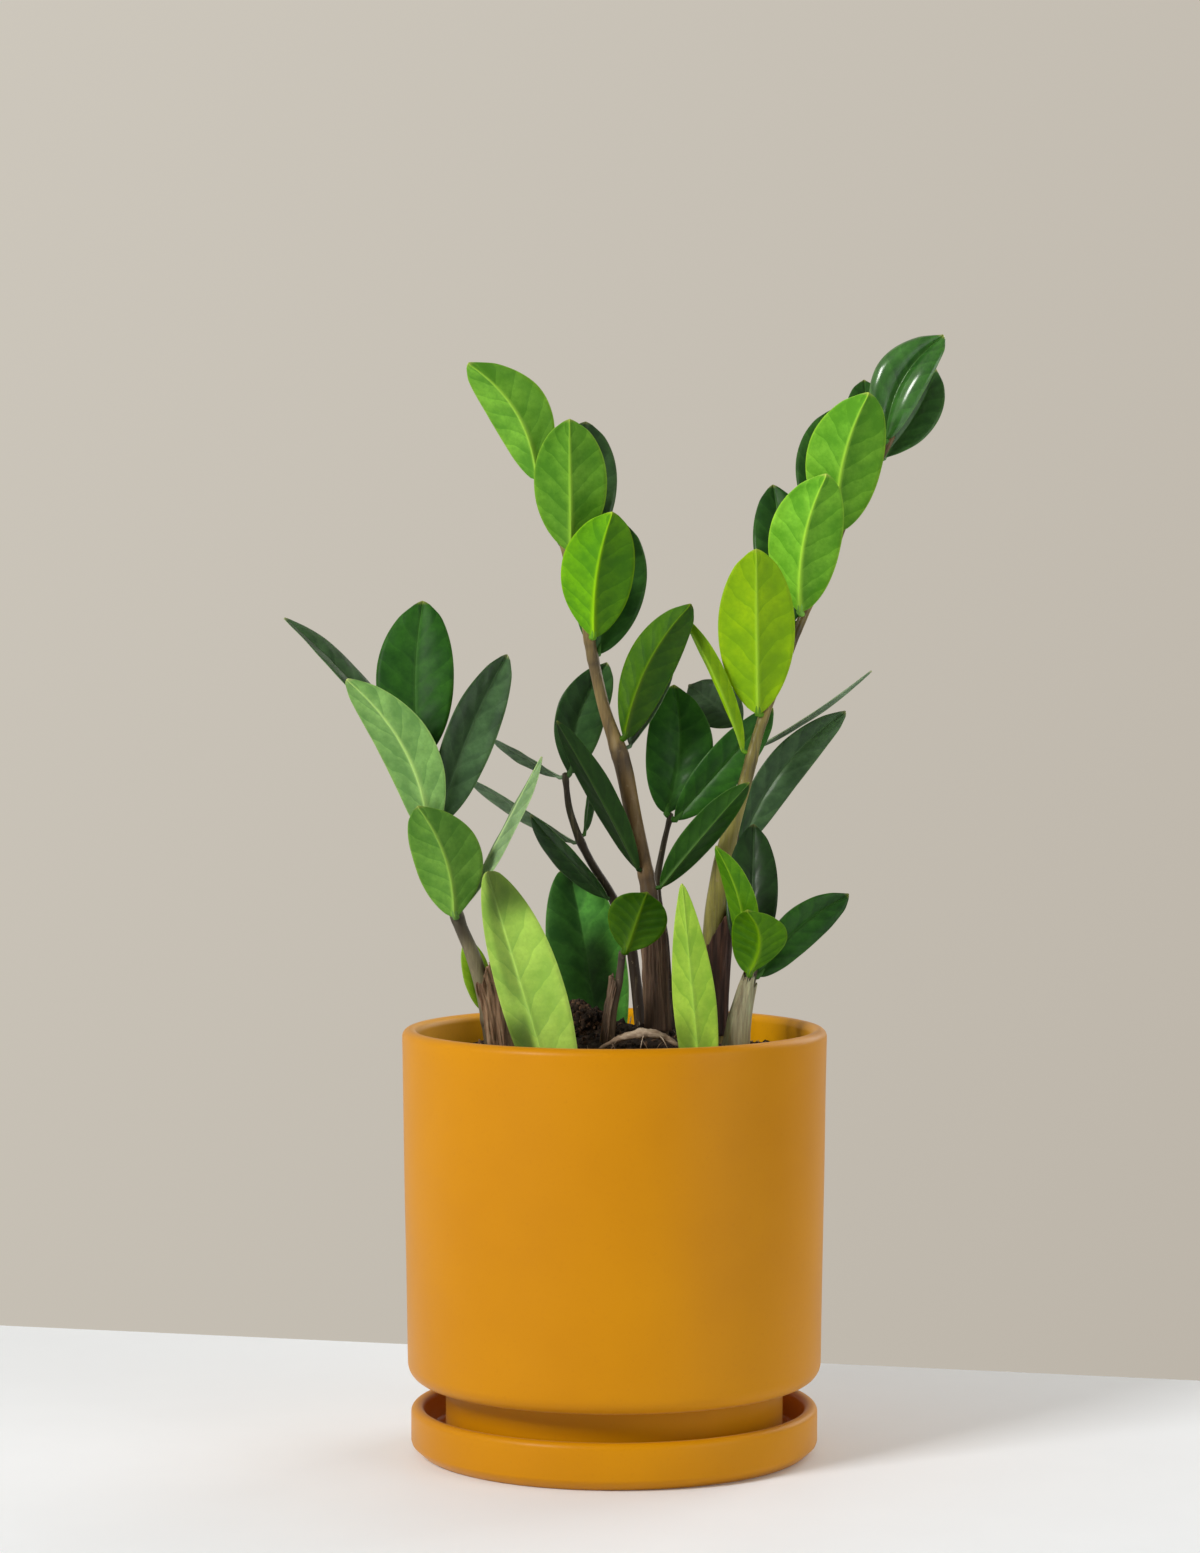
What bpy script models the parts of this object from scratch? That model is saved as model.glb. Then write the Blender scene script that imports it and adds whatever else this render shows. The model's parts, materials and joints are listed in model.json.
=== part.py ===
"""Potted zz plant: a glazed cylinder pot on its saucer, planted with six stems and two shoots.

Frame: +Z up, origin on the pot's axis at the level of the surface that it stands on,
-Y towards the side that the plant is seen from, +X to the right of that side.
Each leaflet, stem and papery sheath is a solid of its own beside the pot, saucer, soil and root.
"""
import math

import bmesh
import bpy
from mathutils import Matrix, Vector

MM = 0.001

# Clearance between pieces that rest on, stand in or grow from each other.
GAP = 0.3 * MM

# Saucer: its dish is wider than the pot's foot by the room for water all round.
SAUCER_ROOM = 5.8 * MM
SAUCER_HEIGHT = 14.0 * MM
SAUCER_WALL = 4.6 * MM
SAUCER_FLOOR = 5.0 * MM
SAUCER_CHAMFER = 3.0 * MM
SAUCER_LIP_RADIUS = 1.6 * MM

# Pot: a cylinder that narrows slightly, above a recessed foot that stands in the saucer.
POT_RIM_RADIUS = 63.5 * MM
POT_TAPER = 1.6 * MM
POT_HEIGHT = 121.7 * MM
POT_WALL = 5.0 * MM
POT_FLOOR = 6.0 * MM
POT_LIP_RADIUS = 1.9 * MM
POT_HEEL_RADIUS = 5.5 * MM
FOOT_INSET = 11.4 * MM
FOOT_HEIGHT = 16.4 * MM
DRAIN_RADIUS = 6.0 * MM

# Soil: filled to a little below the rim at the wall, heaped around the stems.
SOIL_DEPTH_BELOW_RIM = 9.0 * MM
MOUND_HEIGHT = 9.5 * MM
MOUND_CENTRE = (6.0 * MM, -4.0 * MM)
MOUND_EVENNESS = 6
MOUND_SPREAD = (32.0 * MM, 40.0 * MM)
CLOD_HEIGHT = 5.0 * MM
CLOD_CENTRE = (-8.0 * MM, 2.0 * MM)
CLOD_SPREAD = 6.0 * MM
PLANTING_DEPTH = 12.0 * MM
SOIL_RING_SHARES = (1.0, 0.82, 0.64, 0.46, 0.28, 0.12)

# Leaflets and sheaths.
BLADE_THICKNESS = 0.6 * MM
PETIOLE_WIDTH = 2.0 * MM
BELLY = 0.55
LOW_BELLY = 0.37
BLADE_FULLNESS = 0.8
BLADE_STATIONS = (0.0, 0.07, 0.18, 0.32, 0.47, 0.62, 0.77, 0.9, 1.0)
SHEATH_THICKNESS = 0.7 * MM
SHEATH_NARROWING = 0.55
SHEATH_STEPS = 6

TURNED_SIDES = 48
STEM_SIDES = 8

# Worked out from the sizes above.
POT_BASE_Z = SAUCER_FLOOR + GAP
POT_TOP_Z = POT_BASE_Z + POT_HEIGHT
HEEL_RADIUS = POT_RIM_RADIUS - POT_TAPER
FOOT_RADIUS = HEEL_RADIUS - FOOT_INSET
DISH_RADIUS = FOOT_RADIUS + SAUCER_ROOM
SAUCER_RADIUS = DISH_RADIUS + SAUCER_WALL
SOIL_RADIUS = POT_RIM_RADIUS - POT_WALL - GAP
SOIL_EDGE_Z = POT_TOP_Z - SOIL_DEPTH_BELOW_RIM

COLOURS = {
    "glaze": ((0.66, 0.33, 0.022, 1.0), 0.42),
    "soil": ((0.022, 0.013, 0.008, 1.0), 0.95),
    "root": ((0.40, 0.30, 0.20, 1.0), 0.8),
    "stem": ((0.16, 0.13, 0.045, 1.0), 0.55),
    "dark_stem": ((0.05, 0.035, 0.02, 1.0), 0.6),
    "sheath": ((0.20, 0.12, 0.06, 1.0), 0.85),
    "pale_sheath": ((0.30, 0.28, 0.16, 1.0), 0.7),
    "young_leaf": ((0.33, 0.56, 0.04, 1.0), 0.45),
    "light_leaf": ((0.16, 0.36, 0.04, 1.0), 0.42),
    "dark_leaf": ((0.03, 0.13, 0.025, 1.0), 0.3),
}

# Stems: foot as shares of the soil's radius (right, back), colour, then points up the stem as
# (right, back, up, stem radius) in millimetres from the foot on the soil's surface.
STEMS = {
    "stem_left": ((-0.60, -0.27), "stem", (
        (0, 0, 0, 3.0), (-3, 0, 18, 2.8), (-7, -1, 31, 2.3), (-11, -2, 40, 2.0),
        (-14, -2, 51, 1.8), (-17, -2, 63, 1.6), (-21, -1, 77, 1.4), (-25, 0, 92, 1.1))),
    "stem_middle": ((0.22, -0.26), "stem", (
        (0, 0, 0, 3.3), (-1, 1, 22, 3.0), (-2, 1, 40, 2.6), (-5, 3, 55, 2.3),
        (-8, 5, 68, 2.5), (-10, 6, 80, 2.8), (-13, 7, 88, 2.1), (-16, 8, 96, 1.8),
        (-18, 8, 105, 1.8), (-20, 8, 115, 1.7), (-22, 8, 126, 1.5), (-27, 7, 142, 1.3),
        (-31, 7, 154, 1.1), (-34, 8, 164, 0.9))),
    "stem_back": ((0.14, 0.22), "dark_stem", (
        (0, 0, 0, 1.9), (-3, 2, 25, 1.6), (-9, 5, 40, 1.4), (-15, 5, 49, 1.3),
        (-19, 5, 57, 1.3), (-22, 5, 66, 1.1), (-23, 5, 76, 0.9))),
    "stem_branch": ((0.29, -0.05), "dark_stem", (
        (0, 0, 0, 1.6), (-2, 1, 28, 1.3), (-4, 3, 40, 1.1), (-4, 4, 46, 1.1),
        (-2, 5, 56, 0.9), (0, 6, 64, 0.8))),
    "stem_right": ((0.50, -0.13), "stem", (
        (0, 0, 0, 3.7), (0, 0, 24, 3.6), (1, -1, 39, 3.5), (3, -2, 54, 3.0),
        (6, -2, 66, 2.5), (9, -2, 75, 2.1), (11, -2, 82, 1.9), (13, -2, 91, 1.7),
        (17, -2, 102, 1.5), (22, 0, 114, 1.4), (26, 2, 125, 1.3), (34, 4, 140, 1.2),
        (38, 6, 152, 1.1), (43, 7, 161, 1.0), (49, 8, 171, 0.9), (53, 8, 178, 0.8))),
    "stem_right_back": ((0.53, 0.20), "dark_stem", (
        (0, 0, 0, 1.7), (1, -3, 20, 1.5), (3, -4, 42, 1.3), (5, -5, 58, 1.2),
        (7, -4, 70, 1.1), (9, -1, 82, 1.0), (12, 2, 94, 0.9))),
    "shoot_right": ((0.59, -0.58), "dark_stem", (
        (0, 0, 0, 1.9), (2, -1, 14, 1.7), (4, -1, 22, 1.6), (6, -1, 29, 1.3))),
    "shoot_front": ((-0.03, -0.47), "dark_stem", (
        (0, 0, 0, 1.7), (1, -1, 10, 1.4), (3, -2, 19, 1.2), (4, -3, 28, 1.0))),
}

# Sheaths: stem, foot and top above the soil (mm), room between stem and sheath at foot and top
# (mm), first and last angle round the stem (degrees, 0 to the right, -90 to the front), colour.
SHEATHS = {
    "sheath_left": ("stem_left", 0.8, 20, 0.3, 0.8, -110, 30, "sheath"),
    "sheath_middle": ("stem_middle", 1.2, 36, 0.6, 1.2, -175, 95, "sheath"),
    "sheath_front": ("shoot_front", 0.8, 17, 0.6, 1.8, 130, 260, "sheath"),
    "sheath_right": ("stem_right", 1.8, 38, 0.3, 0.6, -200, 40, "sheath"),
    "sheath_shoot": ("shoot_right", 1.2, 24, 1.6, 0.8, -220, 60, "pale_sheath"),
}

# Leaflets: stem, height of the joint above the soil, reach from joint to tip as (right, back, up),
# width, turn of the upper side away from the front, fold along the midrib, bow, sideways sway.
# Lengths are in millimetres, angles in degrees.
LEAFLETS = {
    "leaf_left_1": ("stem_left", 42, (-11, -9, 33), 22, 170, 16, 1, -3, "light_leaf"),
    "leaf_left_2": ("stem_left", 64, (-26, -9, 48), 18, 165, 16, 1, -6, "light_leaf"),
    "leaf_left_3": ("stem_left", 88, (2, 13, 47), 24, 0, 10, 0, -2, "dark_leaf"),
    "leaf_left_4": ("stem_left", 91, (-38, 8, 39), 13, 65, 16, 2, 0, "dark_leaf"),
    "leaf_left_5": ("stem_left", 69, (22, 9, 50), 17, 25, 14, 2, -3, "dark_leaf"),
    "leaf_left_6": ("stem_left", 44, (26, -2, 45), 12, 110, 12, 1, 2, "light_leaf"),
    "leaf_left_7": ("stem_left", 13, (-7, 7, 22), 9, 20, 12, 1, 0, "young_leaf"),
    "leaf_middle_1": ("stem_middle", 164, (-22, -5, 34), 20, 160, 16, 1, -5, "light_leaf"),
    "leaf_middle_2": ("stem_middle", 142, (1, -15, 39), 23, 180, 16, 1, 0, "light_leaf"),
    "leaf_middle_3": ("stem_middle", 140, (5, 17, 42), 23, 0, 12, 1, 0, "dark_leaf"),
    "leaf_middle_4": ("stem_middle", 117, (7, -15, 37), 23, 180, 16, 1, 2, "light_leaf"),
    "leaf_middle_5": ("stem_middle", 112, (9, 18, 40), 22, 0, 12, 1, 0, "dark_leaf"),
    "leaf_middle_6": ("stem_middle", 86, (22, -12, 41), 16, 165, 16, 1, 4, "light_leaf"),
    "leaf_middle_7": ("stem_middle", 84, (16, 11, 25), 12, -50, 14, 1, 0, "dark_leaf"),
    "leaf_middle_8": ("stem_middle", 49, (-26, -12, 44), 10, 150, 14, 1, 0, "dark_leaf"),
    "leaf_middle_9": ("stem_middle", 43, (29, -10, 32), 11, 200, 14, 1, 0, "dark_leaf"),
    "leaf_back_1": ("stem_back", 76, (13, 4, 34), 17, 20, 14, 1, -4, "dark_leaf"),
    "leaf_back_2": ("stem_back", 75, (-23, 3, 12), 7, -60, 14, 0, 0, "dark_leaf"),
    "leaf_back_3": ("stem_back", 56, (-35, 6, 19), 9, -60, 14, 0, 0, "dark_leaf"),
    "leaf_back_4": ("stem_back", 39, (-25, -5, 25), 10, -40, 14, 1, 0, "dark_leaf"),
    "leaf_back_5": ("stem_back", 57, (5, 3, 20), 6, 60, 12, 0, 0, "dark_leaf"),
    "leaf_branch_1": ("stem_branch", 64, (1, 5, 39), 21, 0, 12, 1, 3, "dark_leaf"),
    "leaf_branch_2": ("stem_branch", 63, (31, 2, 33), 14, 10, 14, 1, 0, "dark_leaf"),
    "leaf_right_1": ("stem_right", 97, (-3, -17, 49), 24, 180, 14, 1, 0, "young_leaf"),
    "leaf_right_2": ("stem_right", 127, (6, -16, 41), 23, 175, 16, 1, 3, "light_leaf"),
    "leaf_right_3": ("stem_right", 151, (8, -15, 41), 24, 175, 14, 1, 3, "light_leaf"),
    "leaf_right_4": ("stem_right", 124, (-7, 15, 42), 18, 0, 12, 1, 0, "dark_leaf"),
    "leaf_right_5": ("stem_right", 150, (0, 18, 39), 20, 0, 12, 1, -2, "dark_leaf"),
    "leaf_right_6": ("stem_right", 178, (16, 0, 32), 18, -20, 18, 2, -4, "dark_leaf"),
    "leaf_right_7": ("stem_right", 174, (17, 14, 27), 15, -10, 14, 1, 2, "dark_leaf"),
    "leaf_right_8": ("stem_right", 170, (-2, 18, 28), 14, 0, 12, 1, 0, "dark_leaf"),
    "leaf_right_9": ("stem_right", 86, (-21, -4, 41), 9, 120, 16, 2, 0, "young_leaf"),
    "leaf_right_back_1": ("stem_right_back", 58, (34, 4, 41), 13, 10, 14, 1, -5, "dark_leaf"),
    "leaf_right_back_2": ("stem_right_back", 88, (37, 8, 23), 5, 70, 12, 1, 0, "dark_leaf"),
    "leaf_right_back_3": ("stem_right_back", 93, (-20, 8, 14), 15, 0, 10, 1, 0, "dark_leaf"),
    "leaf_shoot_1": ("shoot_right", 28, (1, 19, 41), 16, 0, 12, 1, 0, "dark_leaf"),
    "leaf_shoot_2": ("shoot_right", 28, (-11, -6, 36), 10, 150, 14, 1, -3, "light_leaf"),
    "leaf_shoot_3": ("shoot_right", 26, (-2, -13, 20), 17, 180, 14, 1, -4, "light_leaf"),
    "leaf_shoot_4": ("shoot_right", 26, (29, 6, 23), 13, 10, 12, 1, -3, "dark_leaf"),
    "leaf_front": ("shoot_front", 28, (7, -10, 18), 18, 180, 8, 2, 0, "light_leaf"),
}

# Low leaflets that grow straight from the soil: foot as shares of the soil's radius, then as above.
LOW_LEAFLETS = {
    "leaf_low_left": ((-0.34, -0.78), (-17, 3, 57), 22, 180, 12, 2, 0, "young_leaf"),
    "leaf_low_back": ((-0.10, 0.42), (-8, 5, 50), 25, 0, 12, 2, 1, "dark_leaf"),
    "leaf_low_right": ((0.42, -0.76), (-5, 4, 53), 13, 180, 10, 1, 0, "young_leaf"),
}

# Root that arches over the soil in front of a shoot: (right, back, up) in millimetres, right and
# back from the shoot's foot, up from the soil's surface.
ROOT_SHOOT = "shoot_front"
ROOT_POINTS = ((-3.3, -6.6, 0), (2.7, -7.6, 3), (8.7, -8.6, 5), (13.7, -8.6, 5), (18.7, -8.6, 3), (23.7, -6.6, 0))
ROOT_RADIUS = 1.1 * MM


def clear_scene():
    """Remove whatever the opened file holds."""
    for existing in list(bpy.data.objects):
        bpy.data.objects.remove(existing, do_unlink=True)


def material(name):
    """One Principled material per finish."""
    found = bpy.data.materials.get(name)
    if found:
        return found
    colour, roughness = COLOURS[name]
    made = bpy.data.materials.new(name)
    made.use_nodes = True
    shader = made.node_tree.nodes["Principled BSDF"]
    shader.inputs["Base Color"].default_value = colour
    shader.inputs["Roughness"].default_value = roughness
    shader.inputs["Metallic"].default_value = 0.0
    made.diffuse_color = colour
    return made


def add_object(name, mesh, finish):
    """Put a finished bmesh into the scene as one object with one finish."""
    bmesh.ops.recalc_face_normals(mesh, faces=mesh.faces)
    data = bpy.data.meshes.new(name)
    mesh.to_mesh(data)
    mesh.free()
    piece = bpy.data.objects.new(name, data)
    bpy.context.scene.collection.objects.link(piece)
    if finish:
        data.materials.append(material(finish))
    data.shade_smooth()
    data.set_sharp_from_angle(angle=math.radians(35))
    return piece


def loft(rings):
    """Closed skin over rings of equal length, with a flat cap at each end."""
    mesh = bmesh.new()
    rows = [[mesh.verts.new(point) for point in ring] for ring in rings]
    count = len(rows[0])
    for lower, upper in zip(rows, rows[1:]):
        for side in range(count):
            after = (side + 1) % count
            mesh.faces.new((lower[side], lower[after], upper[after], upper[side]))
    mesh.faces.new(list(reversed(rows[0])))
    mesh.faces.new(rows[-1])
    return mesh


def turned(profile, closed):
    """Body of revolution from a (radius, height) outline; an open outline's two ends are capped."""
    mesh = bmesh.new()
    rows = []
    for step in range(TURNED_SIDES):
        angle = math.tau * step / TURNED_SIDES
        rows.append([mesh.verts.new((r * math.cos(angle), r * math.sin(angle), z)) for r, z in profile])
    count = len(profile)
    for step in range(TURNED_SIDES):
        here = rows[step]
        there = rows[(step + 1) % TURNED_SIDES]
        for index in range(count if closed else count - 1):
            after = (index + 1) % count
            mesh.faces.new((here[index], there[index], there[after], here[after]))
    if not closed:
        mesh.faces.new([row[0] for row in reversed(rows)])
        mesh.faces.new([row[-1] for row in rows])
    return mesh


def arc(centre_r, centre_z, radius, start, end, steps):
    """Points of a round corner from start to end angle, in degrees."""
    points = []
    for step in range(steps + 1):
        angle = math.radians(start + (end - start) * step / steps)
        points.append((centre_r + radius * math.cos(angle), centre_z + radius * math.sin(angle)))
    return points


def make_saucer():
    """Shallow dish with a chamfered foot and a rounded lip."""
    lip = SAUCER_LIP_RADIUS
    profile = [(SAUCER_RADIUS - SAUCER_CHAMFER, 0.0), (SAUCER_RADIUS, SAUCER_CHAMFER)]
    profile += arc(SAUCER_RADIUS - lip, SAUCER_HEIGHT - lip, lip, 0, 90, 3)
    profile += arc(DISH_RADIUS + lip, SAUCER_HEIGHT - lip, lip, 90, 180, 3)
    profile += arc(DISH_RADIUS - lip, SAUCER_FLOOR + lip, lip, 0, -90, 2)
    return add_object("saucer", turned(profile, closed=False), "glaze")


def make_pot():
    """Thin-walled cylinder on a recessed foot, with a drain hole through its floor."""
    body_bottom = POT_BASE_Z + FOOT_HEIGHT
    inner_top = POT_RIM_RADIUS - POT_WALL
    inner_heel = HEEL_RADIUS - POT_WALL
    inner_foot = FOOT_RADIUS - POT_WALL
    inner_ledge = body_bottom + POT_WALL
    lip = POT_LIP_RADIUS
    heel = POT_HEEL_RADIUS
    profile = [(DRAIN_RADIUS, POT_BASE_Z), (FOOT_RADIUS, POT_BASE_Z), (FOOT_RADIUS, body_bottom)]
    profile += arc(HEEL_RADIUS - heel, body_bottom + heel, heel, -90, 0, 4)
    profile += arc(POT_RIM_RADIUS - lip, POT_TOP_Z - lip, lip, 0, 90, 3)
    profile += arc(inner_top + lip, POT_TOP_Z - lip, lip, 90, 180, 3)
    profile += [(inner_heel, inner_ledge), (inner_foot, inner_ledge)]
    profile += [(inner_foot, POT_BASE_Z + POT_FLOOR), (DRAIN_RADIUS, POT_BASE_Z + POT_FLOOR)]
    return add_object("pot", turned(profile, closed=True), "glaze")


def soil_height(x, y):
    """Height of the soil's surface: a heap around the stems with one clod, level at the wall."""
    near_wall = min(1.0, math.hypot(x, y) / SOIL_RADIUS)
    heap = MOUND_HEIGHT * (1.0 - near_wall ** MOUND_EVENNESS) * math.exp(
        -((x - MOUND_CENTRE[0]) / MOUND_SPREAD[0]) ** 2 - ((y - MOUND_CENTRE[1]) / MOUND_SPREAD[1]) ** 2)
    reach = math.hypot(x - CLOD_CENTRE[0], y - CLOD_CENTRE[1]) / CLOD_SPREAD
    return SOIL_EDGE_Z + heap + CLOD_HEIGHT * math.exp(-reach ** 2)


def on_soil(shares):
    """Point on the soil's surface from shares of the soil's radius to the right and back."""
    x = shares[0] * SOIL_RADIUS
    y = shares[1] * SOIL_RADIUS
    return Vector((x, y, soil_height(x, y)))


def smooth_route(points, steps):
    """Catmull-Rom curve through the points, each a tuple of equal length."""
    def blend(before, here, after, beyond, t):
        return tuple(
            0.5 * (2 * b + (c - a) * t + (2 * a - 5 * b + 4 * c - d) * t * t
                   + (3 * b - a - 3 * c + d) * t ** 3)
            for a, b, c, d in zip(before, here, after, beyond))
    padded = [points[0]] + list(points) + [points[-1]]
    route = []
    for index in range(1, len(padded) - 2):
        for step in range(steps):
            route.append(blend(*padded[index - 1:index + 3], step / steps))
    route.append(tuple(points[-1]))
    return route


def stem_route(name, steps=2):
    """Centre line of a stem as (Vector, radius), from its planted end to its top."""
    foot_shares, _, points = STEMS[name]
    foot = on_soil(foot_shares)
    planted = (points[0][0], points[0][1], -PLANTING_DEPTH / MM, points[0][3])
    route = []
    for right, back, up, radius in [planted] + smooth_route(points, steps):
        route.append((foot + Vector((right, back, up)) * MM, radius * MM))
    return route


def stem_joint(name, height):
    """Centre, direction and radius of a stem at a height above the soil."""
    route = stem_route(name, 6)
    level = on_soil(STEMS[name][0]).z + height * MM
    for (low, low_radius), (high, high_radius) in zip(route, route[1:]):
        if low.z <= level <= high.z:
            share = (level - low.z) / (high.z - low.z)
            along = (high - low).normalized()
            return low.lerp(high, share), along, low_radius + (high_radius - low_radius) * share
    top, radius = route[-1]
    return top, (top - route[-2][0]).normalized(), radius


def tube(route, extra, sides):
    """Skin of a round stem along its route, made larger all round by extra."""
    rings = []
    side = Vector((1.0, 0.0, 0.0))
    last = len(route) - 1
    for index, (centre, radius) in enumerate(route):
        along = (route[min(index + 1, last)][0] - route[max(index - 1, 0)][0]).normalized()
        side = (side - along * side.dot(along)).normalized()
        other = along.cross(side)
        ring = []
        for step in range(sides):
            angle = math.tau * step / sides
            ring.append(centre + (side * math.cos(angle) + other * math.sin(angle)) * (radius + extra))
        rings.append(ring)
    return loft(rings)


def make_stems():
    """Every stem and shoot, planted in the soil."""
    for name, (_, finish, _) in STEMS.items():
        add_object(name, tube(stem_route(name, 1), 0.0, STEM_SIDES), finish)


def make_soil():
    """Plug of soil that fills the pot, with a heaped top and a socket for each stem."""
    inner_foot = FOOT_RADIUS - POT_WALL - GAP
    inner_heel = HEEL_RADIUS - POT_WALL - GAP
    bottom = POT_BASE_Z + POT_FLOOR + GAP
    ledge = POT_BASE_Z + FOOT_HEIGHT + POT_WALL + GAP
    wall_share = (SOIL_EDGE_Z - ledge) / (POT_TOP_Z - ledge)
    edge_radius = inner_heel + (SOIL_RADIUS - inner_heel) * wall_share
    mesh = bmesh.new()
    rows = []
    for radius, level in ((inner_foot, bottom), (inner_foot, ledge), (inner_heel, ledge)):
        rows.append([(radius, level)] * TURNED_SIDES)
    for share in SOIL_RING_SHARES:
        rows.append([(edge_radius * share, None)] * TURNED_SIDES)
    rings = []
    for row in rows:
        ring = []
        for step, (radius, level) in enumerate(row):
            x = radius * math.cos(math.tau * step / TURNED_SIDES)
            y = radius * math.sin(math.tau * step / TURNED_SIDES)
            ring.append(mesh.verts.new((x, y, soil_height(x, y) if level is None else level)))
        rings.append(ring)
    for lower, upper in zip(rings, rings[1:]):
        for step in range(TURNED_SIDES):
            after = (step + 1) % TURNED_SIDES
            mesh.faces.new((lower[step], lower[after], upper[after], upper[step]))
    mesh.faces.new(list(reversed(rings[0])))
    crown = mesh.verts.new((0.0, 0.0, soil_height(0.0, 0.0)))
    for step in range(TURNED_SIDES):
        mesh.faces.new((rings[-1][step], rings[-1][(step + 1) % TURNED_SIDES], crown))
    soil = add_object("soil", mesh, "soil")
    for name in STEMS:
        route = stem_route(name, 1)
        tip, radius = route[0]
        route[0] = (tip - Vector((0.0, 0.0, GAP)), radius)
        cutter = add_object("socket_" + name, tube(route[:4], GAP, STEM_SIDES), None)
        cutter.hide_render = True
        cutter.display_type = "WIRE"
        cut = soil.modifiers.new("socket_" + name, "BOOLEAN")
        cut.operation = "DIFFERENCE"
        cut.solver = "EXACT"
        cut.object = cutter
    return soil


def make_sheaths():
    """Papery sleeves, open at one side, round the foot of a stem."""
    for name, (stem, low, high, room_low, room_high, first, last, finish) in SHEATHS.items():
        mesh_rings = []
        for step in range(SHEATH_STEPS + 1):
            share = step / SHEATH_STEPS
            centre, along, radius = stem_joint(stem, low + (high - low) * share)
            inner = radius + GAP + (room_low + (room_high - room_low) * share) * MM
            narrow = 1.0 - SHEATH_NARROWING * share ** 3
            middle = math.radians((first + last) / 2)
            half = math.radians((last - first) / 2) * narrow
            side = (Vector((1, 0, 0)) - along * along.x).normalized()
            back = along.cross(side)
            ring = []
            for wall, turns in ((inner, range(-3, 4)), (inner + SHEATH_THICKNESS, range(3, -4, -1))):
                for turn in turns:
                    angle = middle + half * turn / 3
                    ring.append(centre + (side * math.cos(angle) + back * math.sin(angle)) * wall)
            mesh_rings.append(ring)
        add_object(name, loft(mesh_rings), finish)


def blade(base, tip, width, turn, fold, bow, sway, belly):
    """Folded leaflet from base to tip: narrow petiole, widest at belly, pointed end."""
    axis = (tip - base).normalized()
    front = Vector((0.0, -1.0, 0.0))
    face = (front - axis * front.dot(axis)).normalized()
    face = Matrix.Rotation(math.radians(turn), 3, axis) @ face
    across = axis.cross(face)
    raised = math.radians(fold)
    rings = []
    for share in BLADE_STATIONS:
        arch = 4.0 * share * (1.0 - share)
        centre = base.lerp(tip, share) + face * (bow * MM * arch) + across * (sway * MM * arch)
        outline = math.sin(math.pi * share ** (math.log(0.5) / math.log(belly))) ** BLADE_FULLNESS
        half = max(width * MM / 2 * outline, PETIOLE_WIDTH / 2 if share < 0.5 else BLADE_THICKNESS / 2)
        edge = across * (half * math.cos(raised)) + face * (half * math.sin(raised))
        other = -across * (half * math.cos(raised)) + face * (half * math.sin(raised))
        under = face * -BLADE_THICKNESS
        ring = [centre + other, centre, centre + edge]
        ring += [centre + edge + under, centre + under, centre + other + under]
        rings.append(ring)
    return loft(rings)


def make_leaflets():
    """Every leaflet, each standing off its stem or the soil by the clearance."""
    for name, (stem, height, reach, width, turn, fold, bow, sway, finish) in LEAFLETS.items():
        centre, along, radius = stem_joint(stem, height)
        reach = Vector(reach) * MM
        outward = (reach - along * reach.dot(along)).normalized()
        base = centre + outward * (radius + GAP + BLADE_THICKNESS)
        mesh = blade(base, centre + reach, width, turn, fold, bow, sway, BELLY)
        add_object(name, mesh, finish)
    for name, (shares, reach, width, turn, fold, bow, sway, finish) in LOW_LEAFLETS.items():
        base = on_soil(shares) + Vector((0.0, 0.0, GAP))
        mesh = blade(base, base + Vector(reach) * MM, width, turn, fold, bow, sway, LOW_BELLY)
        add_object(name, mesh, finish)


def make_root():
    """Bare root that arches over the soil in front of a shoot."""
    foot = on_soil(STEMS[ROOT_SHOOT][0])
    route = []
    for right, back, up in smooth_route(ROOT_POINTS, 2):
        x, y = foot.x + right * MM, foot.y + back * MM
        ground = soil_height(x, y) + ROOT_RADIUS + GAP
        route.append((Vector((x, y, ground + up * MM)), ROOT_RADIUS))
    return add_object("root", tube(route, 0.0, STEM_SIDES), "root")


clear_scene()
make_saucer()
make_pot()
make_soil()
make_stems()
make_sheaths()
make_leaflets()
make_root()
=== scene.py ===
import json
import math

import bmesh
import bpy
import numpy as np
from mathutils import Matrix, Vector, noise


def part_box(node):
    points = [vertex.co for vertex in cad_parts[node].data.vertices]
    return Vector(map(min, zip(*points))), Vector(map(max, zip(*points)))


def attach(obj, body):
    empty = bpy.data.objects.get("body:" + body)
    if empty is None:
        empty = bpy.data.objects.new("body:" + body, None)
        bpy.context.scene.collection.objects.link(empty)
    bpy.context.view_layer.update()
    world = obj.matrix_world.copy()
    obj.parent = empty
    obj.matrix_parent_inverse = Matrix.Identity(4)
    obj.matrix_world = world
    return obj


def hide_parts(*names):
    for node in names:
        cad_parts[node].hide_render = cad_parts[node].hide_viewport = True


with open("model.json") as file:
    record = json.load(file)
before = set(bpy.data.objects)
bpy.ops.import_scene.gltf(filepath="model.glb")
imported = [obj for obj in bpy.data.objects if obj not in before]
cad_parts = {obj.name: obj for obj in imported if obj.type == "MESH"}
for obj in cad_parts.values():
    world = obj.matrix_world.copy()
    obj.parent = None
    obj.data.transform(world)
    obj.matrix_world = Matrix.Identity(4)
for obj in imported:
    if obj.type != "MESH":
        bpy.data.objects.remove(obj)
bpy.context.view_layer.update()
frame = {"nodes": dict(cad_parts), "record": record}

# Camera. It looks slightly down at the pot from the side that the plant is seen from, with a
# long lens, so that the pot's rim is a thin ellipse and the saucer shows its inside.
pot_low, pot_high = (Vector(corner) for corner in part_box("pot"))
camera = bpy.data.objects.new("camera", bpy.data.cameras.new("camera"))
bpy.context.scene.collection.objects.link(camera)
camera.data.sensor_width = 36.0
camera.data.lens = 90.4
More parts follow.
